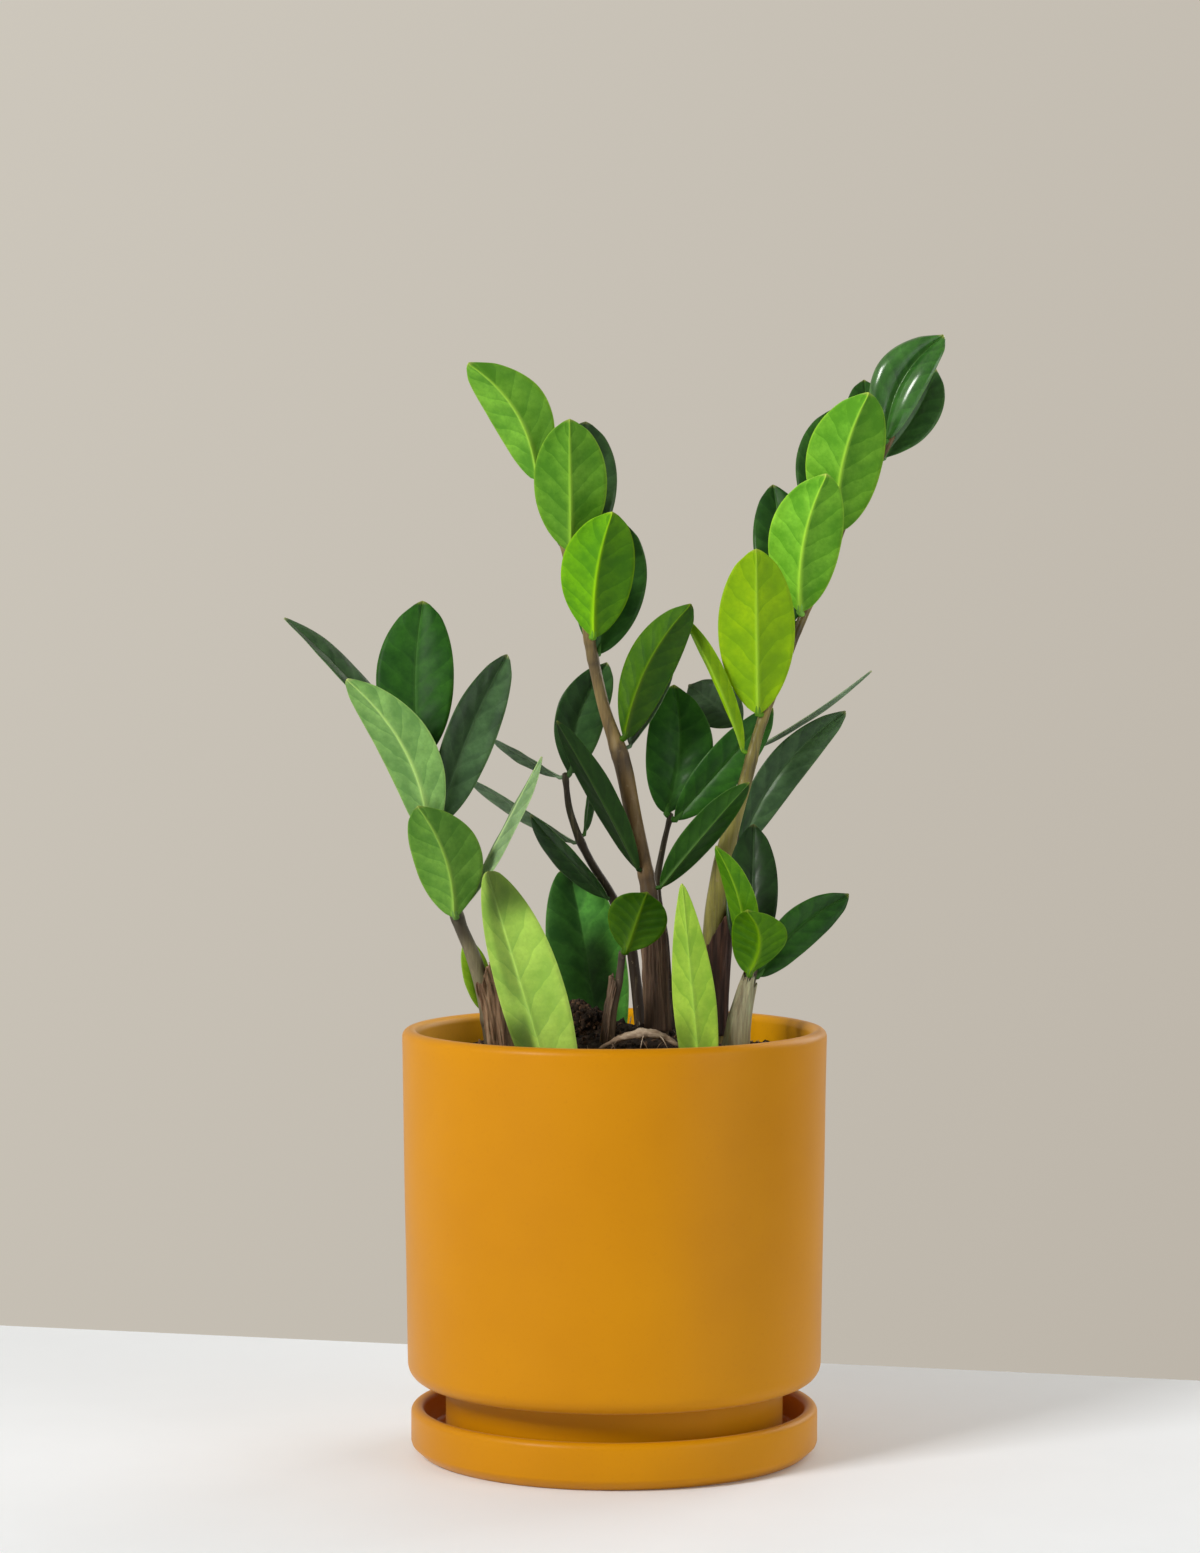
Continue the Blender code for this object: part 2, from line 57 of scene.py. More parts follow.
camera.data.clip_start = 0.05
camera.location = (-0.0043, -1.1637, 0.2448)
camera.rotation_euler = (math.radians(90 - 2.1), 0.0, 0.0)
bpy.context.scene.camera = camera
bpy.context.scene.view_settings.view_transform = "Standard"


# Stage. A white table top whose far edge runs behind the pot, in a plain warm grey room, with a
# soft lamp at the front left, weaker ones at the right and behind, and grey panels out of view.
def plain(name, colour, roughness):
    """Stage paint: one colour with a faint mottle, so that it isn't a dead flat tone."""
    paint = bpy.data.materials.new(name)
    paint.use_nodes = True
    tree = paint.node_tree
    shader = tree.nodes["Principled BSDF"]
    shader.inputs["Roughness"].default_value = roughness
    place = tree.nodes.new("ShaderNodeTexCoord")
    grain = tree.nodes.new("ShaderNodeTexNoise")
    grain.inputs["Scale"].default_value = 30.0
    ramp = tree.nodes.new("ShaderNodeValToRGB")
    ramp.color_ramp.elements[0].color = [value * 0.97 for value in colour] + [1.0]
    ramp.color_ramp.elements[1].color = list(colour) + [1.0]
    tree.links.new(place.outputs["Object"], grain.inputs["Vector"])
    tree.links.new(grain.outputs["Fac"], ramp.inputs["Fac"])
    tree.links.new(ramp.outputs["Color"], shader.inputs["Base Color"])
    return paint


def placed(name, mesh):
    """Make an object from a bmesh and put it into the scene."""
    data = bpy.data.meshes.new(name)
    mesh.to_mesh(data)
    mesh.free()
    made = bpy.data.objects.new(name, data)
    bpy.context.scene.collection.objects.link(made)
    return made


TABLE_THICKNESS = 0.03
TABLE_EDGE_BEHIND = 0.158
TABLE_TURN = math.radians(-14.0)
TABLE_HALF_WIDTH = 1.1
TABLE_DEPTH = 1.6
table_mesh = bmesh.new()
bmesh.ops.create_cube(table_mesh, size=1.0)
for corner in table_mesh.verts:
    corner.co.x *= 2 * TABLE_HALF_WIDTH
    corner.co.y = (corner.co.y - 0.5) * TABLE_DEPTH
    corner.co.z = (corner.co.z - 0.5) * TABLE_THICKNESS
bmesh.ops.bevel(table_mesh, geom=table_mesh.edges[:], offset=0.003, segments=3, affect="EDGES")
bmesh.ops.rotate(table_mesh, verts=table_mesh.verts, matrix=Matrix.Rotation(TABLE_TURN, 3, "Z"))
bmesh.ops.translate(table_mesh, verts=table_mesh.verts, vec=(0.0, TABLE_EDGE_BEHIND, 0.0))
table_top = placed("table", table_mesh)
table_top.data.materials.append(plain("table_paint", (0.880, 0.925, 0.985), 0.6))

for name, size, place, turn in (("panel_right", 3.4, (2.5, -1.2, 1.2), (0, math.pi / 2, 0)),
                                ("panel_top", 3.8, (0.0, -0.9, 2.9), (0, 0, 0)),
                                ("panel_front", 5.0, (0.0, -2.9, 0.4), (math.pi / 2, 0, 0))):
    bpy.ops.mesh.primitive_plane_add(size=size, location=place, rotation=turn)
    panel = bpy.context.object
    panel.name = name
    panel.data.materials.append(plain(name + "_cloth", (0.44, 0.425, 0.40), 0.9))

world = bpy.data.worlds.new("room")
bpy.context.scene.world = world
world.use_nodes = True
sky = world.node_tree
direction = sky.nodes.new("ShaderNodeTexCoord")
parts = sky.nodes.new("ShaderNodeSeparateXYZ")
SKY_ACROSS = -1.55
SKY_UP = 1.2
SKY_LEVEL = 0.5
fall, rise = sky.nodes.new("ShaderNodeMath"), sky.nodes.new("ShaderNodeMath")
for node, factor in ((fall, SKY_ACROSS), (rise, SKY_UP)):
    node.operation = "MULTIPLY_ADD"
    node.inputs[1].default_value = factor
rise.inputs[2].default_value = SKY_LEVEL
wash = sky.nodes.new("ShaderNodeValToRGB")
wash.color_ramp.elements[0].color = (0.500, 0.456, 0.392, 1.0)
wash.color_ramp.elements[1].color = (0.618, 0.578, 0.508, 1.0)
sky.links.new(direction.outputs["Generated"], parts.inputs[0])
sky.links.new(parts.outputs["Z"], rise.inputs[0])
sky.links.new(parts.outputs["X"], fall.inputs[0])
sky.links.new(rise.outputs[0], fall.inputs[2])
sky.links.new(fall.outputs[0], wash.inputs["Fac"])
sky.links.new(wash.outputs["Color"], sky.nodes["Background"].inputs["Color"])
sky.nodes["Background"].inputs["Strength"].default_value = 1.0


def lamp(name, place, target, size, power, colour):
    """Square soft lamp that faces a point."""
    light = bpy.data.lights.new(name, "AREA")
    light.size = size
    light.energy = power
    light.color = colour
    holder = bpy.data.objects.new(name, light)
    holder.location = place
    holder.rotation_euler = (Vector(target) - Vector(place)).to_track_quat("-Z", "Y").to_euler()
    bpy.context.scene.collection.objects.link(holder)


middle = (0.0, 0.0, 0.17)
lamp("key", (-0.93, -0.86, 0.92), middle, 0.42, 17.2, (1.0, 0.985, 0.965))
lamp("fill", (1.3, -0.9, 0.5), middle, 1.0, 8.0, (0.96, 0.98, 1.0))
lamp("rear", (0.9, 0.9, 0.7), middle, 0.8, 6.5, (1.0, 0.99, 0.97))


# Pot and saucer. Both are turned stoneware under one matte mustard glaze. The glaze carries a fine grain;
# inside the rim it is painted brighter, a painted light on the inner wall.
class Finish:
    """A Principled material with a few nodes to hand, painted by noise over Object coordinates."""

    def __init__(self, name, roughness, **settings):
        self.material = bpy.data.materials.new(name)
        self.material.use_nodes = True
        self.tree = self.material.node_tree
        self.shader = self.tree.nodes["Principled BSDF"]
        self.shader.inputs["Roughness"].default_value = roughness
        for socket, value in settings.items():
            self.shader.inputs[socket.replace("_", " ")].default_value = value
        self.place = self.tree.nodes.new("ShaderNodeTexCoord")

    def link(self, start, end):
        self.tree.links.new(start, end)

    def noise(self, scale, detail=4.0, stretch=None, rough=0.6):
        """Noise value, stretched by a Mapping node where the pattern runs one way."""
        node = self.tree.nodes.new("ShaderNodeTexNoise")
        node.inputs["Scale"].default_value = scale
        node.inputs["Detail"].default_value = detail
        node.inputs["Roughness"].default_value = rough
        vector = self.place.outputs["Object"]
        if stretch:
            mapping = self.tree.nodes.new("ShaderNodeMapping")
            mapping.inputs["Scale"].default_value = stretch
            self.link(vector, mapping.inputs["Vector"])
            vector = mapping.outputs["Vector"]
        self.link(vector, node.inputs["Vector"])
        return node.outputs["Fac"]

    def ramp(self, value, *stops):
        """Colour ramp through (position, colour) stops."""
        node = self.tree.nodes.new("ShaderNodeValToRGB")
        elements = node.color_ramp.elements
        while len(elements) < len(stops):
            elements.new(0.5)
        for element, (position, colour) in zip(elements, stops):
            element.position = position
            element.color = list(colour) + [1.0] if len(colour) == 3 else list(colour)
        self.link(value, node.inputs["Fac"])
        return node.outputs["Color"]

    def rising(self, value, low, high):
        """Black up to one value, white from another on."""
        return self.ramp(value, (low, (0.0, 0.0, 0.0)), (high, (1.0, 1.0, 1.0)))

    def falling(self, value, low, high):
        """White up to one value, black from another on."""
        return self.ramp(value, (low, (1.0, 1.0, 1.0)), (high, (0.0, 0.0, 0.0)))

    def blend(self, share, first, second):
        """Mix two colours, each a socket or a colour, by a share that is a socket or a number."""
        node = self.tree.nodes.new("ShaderNodeMix")
        node.data_type = "RGBA"
        for socket, value in ((0, share), (6, first), (7, second)):
            if hasattr(value, "is_output"):
                self.link(value, node.inputs[socket])
            elif socket:
                node.inputs[socket].default_value = tuple(value) + (1.0,) * (4 - len(value))
            else:
                node.inputs[socket].default_value = value
        return node.outputs[2]

    def maths(self, how, first, second=0.0, third=0.0):
        """One Math node over sockets or numbers."""
        node = self.tree.nodes.new("ShaderNodeMath")
        node.operation = how
        for index, value in enumerate((first, second, third)):
            if hasattr(value, "is_output"):
                self.link(value, node.inputs[index])
            else:
                node.inputs[index].default_value = value
        return node.outputs[0]

    def stain(self, tone, mask, share, colour):
        """Lay a share of a colour over a tone where a mask is white."""
        return self.blend(self.maths("MULTIPLY", mask, share), tone, colour)

    def attribute(self, name):
        node = self.tree.nodes.new("ShaderNodeAttribute")
        node.attribute_name = name
        return node.outputs["Fac"]

    def colour(self, socket):
        self.link(socket, self.shader.inputs["Base Color"])

    def roughness(self, socket):
        self.link(socket, self.shader.inputs["Roughness"])

    def bump(self, height, strength, distance):
        """Add a bump on top of any that is there already."""
        node = self.tree.nodes.new("ShaderNodeBump")
        node.inputs["Strength"].default_value = strength
        node.inputs["Distance"].default_value = distance
        self.link(height, node.inputs["Height"])
        socket = self.shader.inputs["Normal"]
        if socket.links:
            self.link(socket.links[0].from_socket, node.inputs["Normal"])
        self.link(node.outputs["Normal"], socket)


def new_piece(name, mesh, materials):
    """Put a finished bmesh into the scene as a piece with its materials."""
    piece = placed(name, mesh)
    for finish in materials:
        piece.data.materials.append(finish)
    piece.data.shade_smooth()
    return piece


def skin(mesh, rows, closed=True):
    """Quads between neighbouring rows of points; a closed row runs on from its end to its start."""
    faces = []
    for one, two in zip(rows, rows[1:]):
        count = len(one)
        for index in range(count if closed else count - 1):
            after = (index + 1) % count
            faces.append(mesh.faces.new((one[index], one[after], two[after], two[index])))
    return faces


def fit(piece, slot, *nodes):
    """A piece rides on the one body and stands for its CAD nodes, which it hides; the slot is not used."""
    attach(piece, "root")
    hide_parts(*nodes)


def glaze(name, rim_radius):
    """Satin glaze, softly mottled, with pinholes and faint throwing rings; inside the rim the wall is
    painted brighter, a painted light.
    """
    made = Finish(name, 0.44, Specular_IOR_Level=0.12, Sheen_Weight=0.22, Sheen_Roughness=0.35,
                  Sheen_Tint=(1.0, 0.72, 0.52, 1.0),
                  Coat_Weight=0.04, Coat_Roughness=0.22)
    broad = made.noise(14.0, 3.0)
    tone = made.ramp(broad, (0.30, (0.510, 0.204, 0.0)), (0.70, (0.570, 0.238, 0.0)))
    sides = made.tree.nodes.new("ShaderNodeSeparateXYZ")
    made.link(made.place.outputs["Object"], sides.inputs[0])
    squares = [made.maths("POWER", made.maths("ABSOLUTE", sides.outputs[axis]), 2.0) for axis in "XY"]
    reach = made.maths("DIVIDE", made.maths("SQRT", made.maths("ADD", *squares)), rim_radius)
    # Painted light: inside the rim and above 3 cm, the glaze is painted a brighter orange to stand in for
    # light falling on the inner wall.
    inner = made.falling(reach, 0.935, 0.965)
    inner = made.maths("MULTIPLY", inner, made.maths("GREATER_THAN", sides.outputs["Z"], 0.03))
    tone = made.stain(tone, inner, 0.8, (0.88, 0.40, 0.0))
    speck = made.noise(900.0, 2.0)
    specks = made.rising(speck, 0.60, 0.72)
    made.colour(made.stain(tone, specks, 0.16, (0.42, 0.15, 0.004)))
    made.roughness(made.maths("MULTIPLY_ADD", broad, 0.16, 0.36))
    made.bump(made.noise(5.0, 1.0, stretch=(1.0, 1.0, 22.0)), 0.10, 0.0006)
    made.bump(made.noise(1400.0, 3.0), 0.12, 0.00006)
    return made.material


def corner(centre_r, centre_z, radius, start, end, steps=8):
    """Round corner of a turned outline, from start to end angle in degrees."""
    points = []
    for step in range(steps + 1):
        angle = math.radians(start + (end - start) * step / steps)
        points.append((centre_r + radius * math.cos(angle), centre_z + radius * math.sin(angle)))
    return points


TURNED_SIDES = 144
UNEVENNESS = 0.00012


def turned(name, profile, finish, closed):
    """Turn a (radius, height) outline, with a potter's slight unevenness; flat ends are capped."""
    dense = []
    pairs = list(zip(profile, profile[1:] + (profile[:1] if closed else [])))
    for (r0, z0), (r1, z1) in pairs:
        parts = max(1, int(math.hypot(r1 - r0, z1 - z0) / 0.006))
        for part in range(parts):
            share = part / parts
            dense.append((r0 + (r1 - r0) * share, z0 + (z1 - z0) * share))
    if not closed:
        dense.append(profile[-1])
    mesh = bmesh.new()
    rows = []
    for step in range(TURNED_SIDES):
        angle = math.tau * step / TURNED_SIDES
        row = []
        for radius, level in dense:
            spot = Vector((math.cos(angle) * 1.7, math.sin(angle) * 1.7, level * 30.0))
            wave = UNEVENNESS * noise.noise(spot)
            out = radius + (wave if radius > 0.03 else 0.0)
            row.append(mesh.verts.new((out * math.cos(angle), out * math.sin(angle), level)))
        rows.append(row)
    skin(mesh, rows + rows[:1], closed)
    if not closed:
        for end in (0, -1):
            mesh.faces.new([row[end] for row in rows])
    bmesh.ops.recalc_face_normals(mesh, faces=mesh.faces)
    return new_piece(name, mesh, [finish])


RIM_RADIUS = pot_high.x
POT_TAPER = 0.0016
POT_WALL = 0.005
POT_FLOOR = 0.006
LIP_RADIUS = 0.0024
HEEL_RADIUS = 0.0055
FOOT_INSET = 0.0114
FOOT_HEIGHT = 0.0164
DRAIN_RADIUS = 0.006
mustard = glaze("mustard_glaze", RIM_RADIUS)
heel_outer = RIM_RADIUS - POT_TAPER
foot_outer = heel_outer - FOOT_INSET
underside = pot_low.z + FOOT_HEIGHT
pot_outline = [(DRAIN_RADIUS, pot_low.z), (foot_outer - 0.001, pot_low.z)]
pot_outline += [(foot_outer, pot_low.z + 0.001)]
pot_outline += corner(foot_outer + 0.0015, underside - 0.0015, 0.0015, 180, 90, 5)
pot_outline += corner(heel_outer - HEEL_RADIUS, underside + HEEL_RADIUS, HEEL_RADIUS, -90, 0, 12)
pot_outline += corner(RIM_RADIUS - LIP_RADIUS, pot_high.z - LIP_RADIUS, LIP_RADIUS, 0, 180, 14)
pot_outline += [(RIM_RADIUS - POT_WALL, pot_high.z - 0.012)]
pot_outline += corner(heel_outer - POT_WALL - 0.004, underside + POT_WALL + 0.004, 0.004, 0, -90, 6)
pot_outline += [(foot_outer - POT_WALL, underside + POT_WALL - 0.001)]
pot_outline += [(foot_outer - POT_WALL, pot_low.z + POT_FLOOR), (DRAIN_RADIUS, pot_low.z + POT_FLOOR)]
pot = turned("pot_body", pot_outline, mustard, closed=True)
fit(pot, "glaze", "pot")

saucer_low, saucer_high = (Vector(corner_point) for corner_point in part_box("saucer"))
SAUCER_WALL = 0.0046
SAUCER_FLOOR = 0.005
SAUCER_LIP = 0.0020
SAUCER_CHAMFER = 0.003
saucer_radius = saucer_high.x
dish = saucer_radius - SAUCER_WALL
saucer_outline = [(saucer_radius - SAUCER_CHAMFER - 0.0006, saucer_low.z)]
saucer_outline += [(saucer_radius - SAUCER_CHAMFER, saucer_low.z + 0.0003)]
saucer_outline += [(saucer_radius - 0.0003, SAUCER_CHAMFER - 0.0003)]
saucer_outline += [(saucer_radius, SAUCER_CHAMFER + 0.0006)]
saucer_outline += corner(saucer_radius - SAUCER_LIP, saucer_high.z - SAUCER_LIP, SAUCER_LIP, 0, 180, 12)
saucer_outline += corner(dish - 0.0016, SAUCER_FLOOR + 0.0016, 0.0016, 0, -90, 6)
saucer = turned("saucer_dish", saucer_outline, mustard, closed=False)
fit(saucer, "glaze", "saucer")


# Soil. Dark damp potting mix, heaped round the stems and sunk a little at the wall. The surface is
# read from the frame's soil, roughened into crumbs, and strewn with bark, grit and root fibres.
def loose_points(node):
    """Corner points and triangles of a frame node as arrays."""
    data = frame["nodes"][node].data
    points = np.empty(len(data.vertices) * 3)
    data.vertices.foreach_get("co", points)
    data.calc_loop_triangles()
    triangles = np.array([triangle.vertices[:] for triangle in data.loop_triangles])
    return points.reshape(-1, 3), triangles


soil_points, _ = loose_points("soil")
soil_low, soil_high = (Vector(corner_point) for corner_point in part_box("soil"))
soil_edge = soil_points[np.hypot(soil_points[:, 0], soil_points[:, 1]) > soil_high.x - 0.0012, 2].max()
surface = np.unique(np.round(soil_points[soil_points[:, 2] > soil_edge - 0.0008], 6), axis=0)


def ground(x, y):
    """Height of the soil's surface, blended from the nearest points of the frame's soil."""
    away = np.hypot(surface[:, 0] - x, surface[:, 1] - y)
    nearest = np.argsort(away)[:8]
    weight = 1.0 / (away[nearest] + 0.0008) ** 2
    return float((surface[nearest, 2] * weight).sum() / weight.sum())


def crumble(x, y, level):
    """Soil height with clods, crumbs and grains."""
    spot = Vector((x, y, level))
    rough = 0.0020 * noise.fractal(spot * 90.0, 1.0, 2.0, 4)
    rough += 0.0011 * abs(noise.noise(spot * 420.0))
    rough += 0.0005 * noise.noise(spot * 1100.0)
    return level + rough


def soil_finish():
    """Near-black brown crumbs with rusty and ashen ones between."""
    made = Finish("potting_soil", 0.95, Specular_IOR_Level=0.25)
    grains = made.noise(420.0, 6.0, rough=0.75)
    patches = made.noise(60.0, 3.0)
    dark = made.ramp(grains, (0.32, (0.006, 0.004, 0.003)), (0.52, (0.030, 0.018, 0.011)),
                     (0.68, (0.085, 0.052, 0.030)), (0.80, (0.20, 0.14, 0.09)))
    made.colour(made.stain(dark, patches, 0.5, (0.012, 0.008, 0.006)))
    made.bump(made.noise(900.0, 5.0, rough=0.8), 0.9, 0.0007)
    return made.material


potting_soil = soil_finish()
soil_mesh = bmesh.new()
SOIL_RINGS = 64
SOIL_SIDES = 180


def soil_ring(radius, level=None):
    """Ring of points on the crumbled surface, or at a level under it."""
    row = []
    for side in range(SOIL_SIDES):
        angle = math.tau * side / SOIL_SIDES
        x, y = radius * math.cos(angle), radius * math.sin(angle)
        z = crumble(x, y, ground(x, y)) if level is None else level
        row.append(soil_mesh.verts.new((x, y, z)))
    return row


soil_radius = soil_high.x - 0.0006
bottom_radius = foot_outer - POT_WALL - 0.0004
rings = [soil_ring(soil_radius * ring / SOIL_RINGS) for ring in range(1, SOIL_RINGS + 1)]
crown = soil_mesh.verts.new((0.0, 0.0, crumble(0.0, 0.0, ground(0.0, 0.0))))
rings.append(soil_ring(soil_radius, underside + POT_WALL + 0.006))
rings.append(soil_ring(bottom_radius, underside + POT_WALL))
rings.append(soil_ring(bottom_radius, soil_low.z))
skin(soil_mesh, rings)
for side in range(SOIL_SIDES):
    soil_mesh.faces.new((crown, rings[0][side], rings[0][(side + 1) % SOIL_SIDES]))
soil_mesh.faces.new(rings[-1])
bmesh.ops.recalc_face_normals(soil_mesh, faces=soil_mesh.faces)
soil = new_piece("soil_heap", soil_mesh, [potting_soil])
fit(soil, "soil", "soil")


def lump(name, size, roughness, seed):
    """Small irregular grain of the given half sizes."""
    mesh = bmesh.new()
    bmesh.ops.create_icosphere(mesh, subdivisions=2, radius=1.0)
    for vertex in mesh.verts:
        vertex.co *= 1.0 + roughness * noise.fractal(vertex.co * 1.3 + Vector((seed, 0, 0)), 1.0, 2.0, 3)
        vertex.co = Vector((vertex.co.x * size[0], vertex.co.y * size[1], vertex.co.z * size[2]))
    return placed(name, mesh)


def strewn(name, ground_piece, grain, finish, density, smallest, largest, seed):
    """Grains scattered over a surface by Geometry Nodes, made real as one plain mesh."""
    tree = bpy.data.node_groups.new(name, "GeometryNodeTree")
    for label, kind in (("Geometry", "Geometry"), ("Density", "Float"), ("Smallest", "Float"),
                        ("Largest", "Float"), ("Seed", "Int")):
        tree.interface.new_socket(label, in_out="INPUT", socket_type="NodeSocket" + kind)
    tree.interface.new_socket("Geometry", in_out="OUTPUT", socket_type="NodeSocketGeometry")
    make = tree.nodes.new
    entry, leave = make("NodeGroupInput"), make("NodeGroupOutput")
    scatter, instance, realize = (make("GeometryNode" + kind) for kind in (
        "DistributePointsOnFaces", "InstanceOnPoints", "RealizeInstances"))
    source, paint = make("GeometryNodeObjectInfo"), make("GeometryNodeSetMaterial")
    source.inputs["Object"].default_value = grain
    paint.inputs["Material"].default_value = finish
    turn, scale = make("FunctionNodeRandomValue"), make("FunctionNodeRandomValue")
    turn.data_type = "FLOAT_VECTOR"
    turn.inputs[0].default_value = (0.0, 0.0, 0.0)
    turn.inputs[1].default_value = (math.tau, math.tau, math.tau)
    for giver, given, taker, taken in (
            (entry, "Geometry", scatter, "Mesh"), (entry, "Density", scatter, "Density"),
            (entry, "Seed", scatter, "Seed"), (scatter, "Points", instance, "Points"),
            (source, "Geometry", instance, "Instance"), (entry, "Smallest", scale, 2),
            (entry, "Largest", scale, 3), (entry, "Seed", turn, "Seed"), (entry, "Seed", scale, "Seed"),
            (turn, 0, instance, "Rotation"), (scale, 1, instance, "Scale"),
            (instance, "Instances", realize, "Geometry"), (realize, "Geometry", paint, "Geometry"),
            (paint, "Geometry", leave, "Geometry")):
        tree.links.new(giver.outputs[given], taker.inputs[taken])
    carrier = bpy.data.objects.new(name + "_ground", ground_piece)
    bpy.context.scene.collection.objects.link(carrier)
    modifier = carrier.modifiers.new(name, "NODES")
    modifier.node_group = tree
    settings = {"Density": density, "Smallest": smallest, "Largest": largest, "Seed": seed}
    for socket in tree.interface.items_tree:
        if socket.name in settings:
            modifier[socket.identifier] = settings[socket.name]
    graph = bpy.context.evaluated_depsgraph_get()
    data = bpy.data.meshes.new_from_object(carrier.evaluated_get(graph))
    bpy.data.objects.remove(carrier)
    bpy.data.objects.remove(grain)
    piece = bpy.data.objects.new(name, data)
    bpy.context.scene.collection.objects.link(piece)
    data.shade_smooth()
    fit(piece, "soil", "soil")


def bare_ground(name):
    """Copy of the soil's open surface, short of the wall, to strew grains on."""
    mesh = bmesh.new()
    mesh.from_mesh(soil.data)
    drop = []
    for face in mesh.faces:
        centre = face.calc_center_median()
        steep = face.normal.z < 0.15 or centre.z < soil_edge - 0.004
        if steep or centre.xy.length > soil_radius - 0.0016:
            drop.append(face)
    bmesh.ops.delete(mesh, geom=drop, context="FACES")
    data = bpy.data.meshes.new(name)
    mesh.to_mesh(data)
    mesh.free()
    return data


def chip_finish(name, dark, light):
    """Splintered bark or straw: long fibres between two tones."""
    made = Finish(name, 0.85, Specular_IOR_Level=0.25)
    fibres = made.noise(300.0, 5.0, rough=0.7)
    made.colour(made.ramp(fibres, (0.35, dark), (0.65, light)))
    made.bump(fibres, 0.6, 0.0005)
    return made.material


CLOD = (-0.0105, -0.006)
clod = lump("clod", (0.0062, 0.0052, 0.0062), 0.55, 4.0)
clod.data.transform(Matrix.Translation((CLOD[0], CLOD[1], ground(*CLOD) + 0.0028)))
clod.data.materials.append(potting_soil)
fit(clod, "soil", "soil")
open_soil = bare_ground("open_soil")
rust_bark = chip_finish("rust_bark", (0.035, 0.018, 0.010), (0.16, 0.085, 0.045))
pale_straw = chip_finish("pale_straw", (0.16, 0.12, 0.075), (0.42, 0.34, 0.24))

# Each kind of grain: what it lies on, its proportions, roughness and shape seed, its finish, how
# many to the square metre, its smallest and largest half length, and the seed of its places.
for name, lies_on, size, roughness, shape, finish, density, smallest, largest, seed in (
        ("fine_crumb", open_soil, (1.0, 0.85, 0.8), 0.5, 3.0, potting_soil, 150000, 0.0003, 0.0009, 4),
        ("coarse_crumb", open_soil, (1.0, 0.8, 0.7), 0.6, 7.0, potting_soil, 14000, 0.0008, 0.0017, 9),
        ("bark_chip", open_soil, (1.0, 0.45, 0.16), 0.3, 5.0, rust_bark, 22000, 0.0007, 0.0019, 12),
        ("straw_bit", open_soil, (1.0, 0.09, 0.07), 0.2, 8.0, pale_straw, 9000, 0.0010, 0.0030, 21),
        ("clod_crumb", clod.data, (1.0, 0.75, 0.7), 0.7, 2.0, rust_bark, 900000, 0.0003, 0.0011, 31),
        ("clod_grain", clod.data, (1.0, 0.8, 0.7), 0.7, 6.0, potting_soil, 500000, 0.0004, 0.0013, 32)):
    strewn(name + "s", lies_on, lump(name, size, roughness, shape), finish, density, smallest, largest, seed)


# Stems. Fleshy upright stalks, brown and wrinkled near the soil and greener above, with a faint
# ring at each leaflet's joint. Each follows its solid in the frame, ring by ring.
def section(points, triangles, origin, direction):
    """Points where a plane through origin, square to direction, cuts the triangles' edges."""
    height = (points - origin) @ direction
    found = []
    for here, there in ((0, 1), (1, 2), (2, 0)):
        first, second = triangles[:, here], triangles[:, there]
        crossing = height[first] * height[second] < 0
        first, second = first[crossing], second[crossing]
        share = height[first] / (height[first] - height[second])
        found.append(points[first] + (points[second] - points[first]) * share[:, None])
    return np.concatenate(found)


def level_cut(points, triangles, height):
    """Points of a level cut."""
    return section(points, triangles, np.array([0, 0, height]), np.array([0.0, 0.0, 1.0]))


def smoothed(values, passes):
    """Even out a run of points without moving its ends."""
    values = values.copy()
    for _ in range(passes):
        values[1:-1] = (values[:-2] + 2 * values[1:-1] + values[2:]) / 4
    return values


STEM_LEVELS = 130
STEM_SIDES = 24


def centre_line(node):
    """Centres and radii of an upright stem, from level cuts through its solid."""
    points, triangles = loose_points(node)
    low, high = points[:, 2].min(), points[:, 2].max()
    heights = np.linspace(low + 0.0006, high - 0.0006, STEM_LEVELS)
    centres, radii = [], []
    for height in heights:
        cut = level_cut(points, triangles, height)
        centre = cut.mean(axis=0)
        centres.append(centre)
        radii.append(np.linalg.norm(cut - centre, axis=1).min() * 1.04)
    centres, radii = smoothed(np.array(centres), 20), smoothed(np.array(radii)[:, None], 12)[:, 0]
    ends = [centres[end] + (centres[end] - centres[inner]) * 1.5 for end, inner in ((0, 1), (-1, -2))]
    return np.vstack([ends[0], centres, ends[1]]), np.concatenate([radii[:1], radii, radii[-1:] * 0.9])


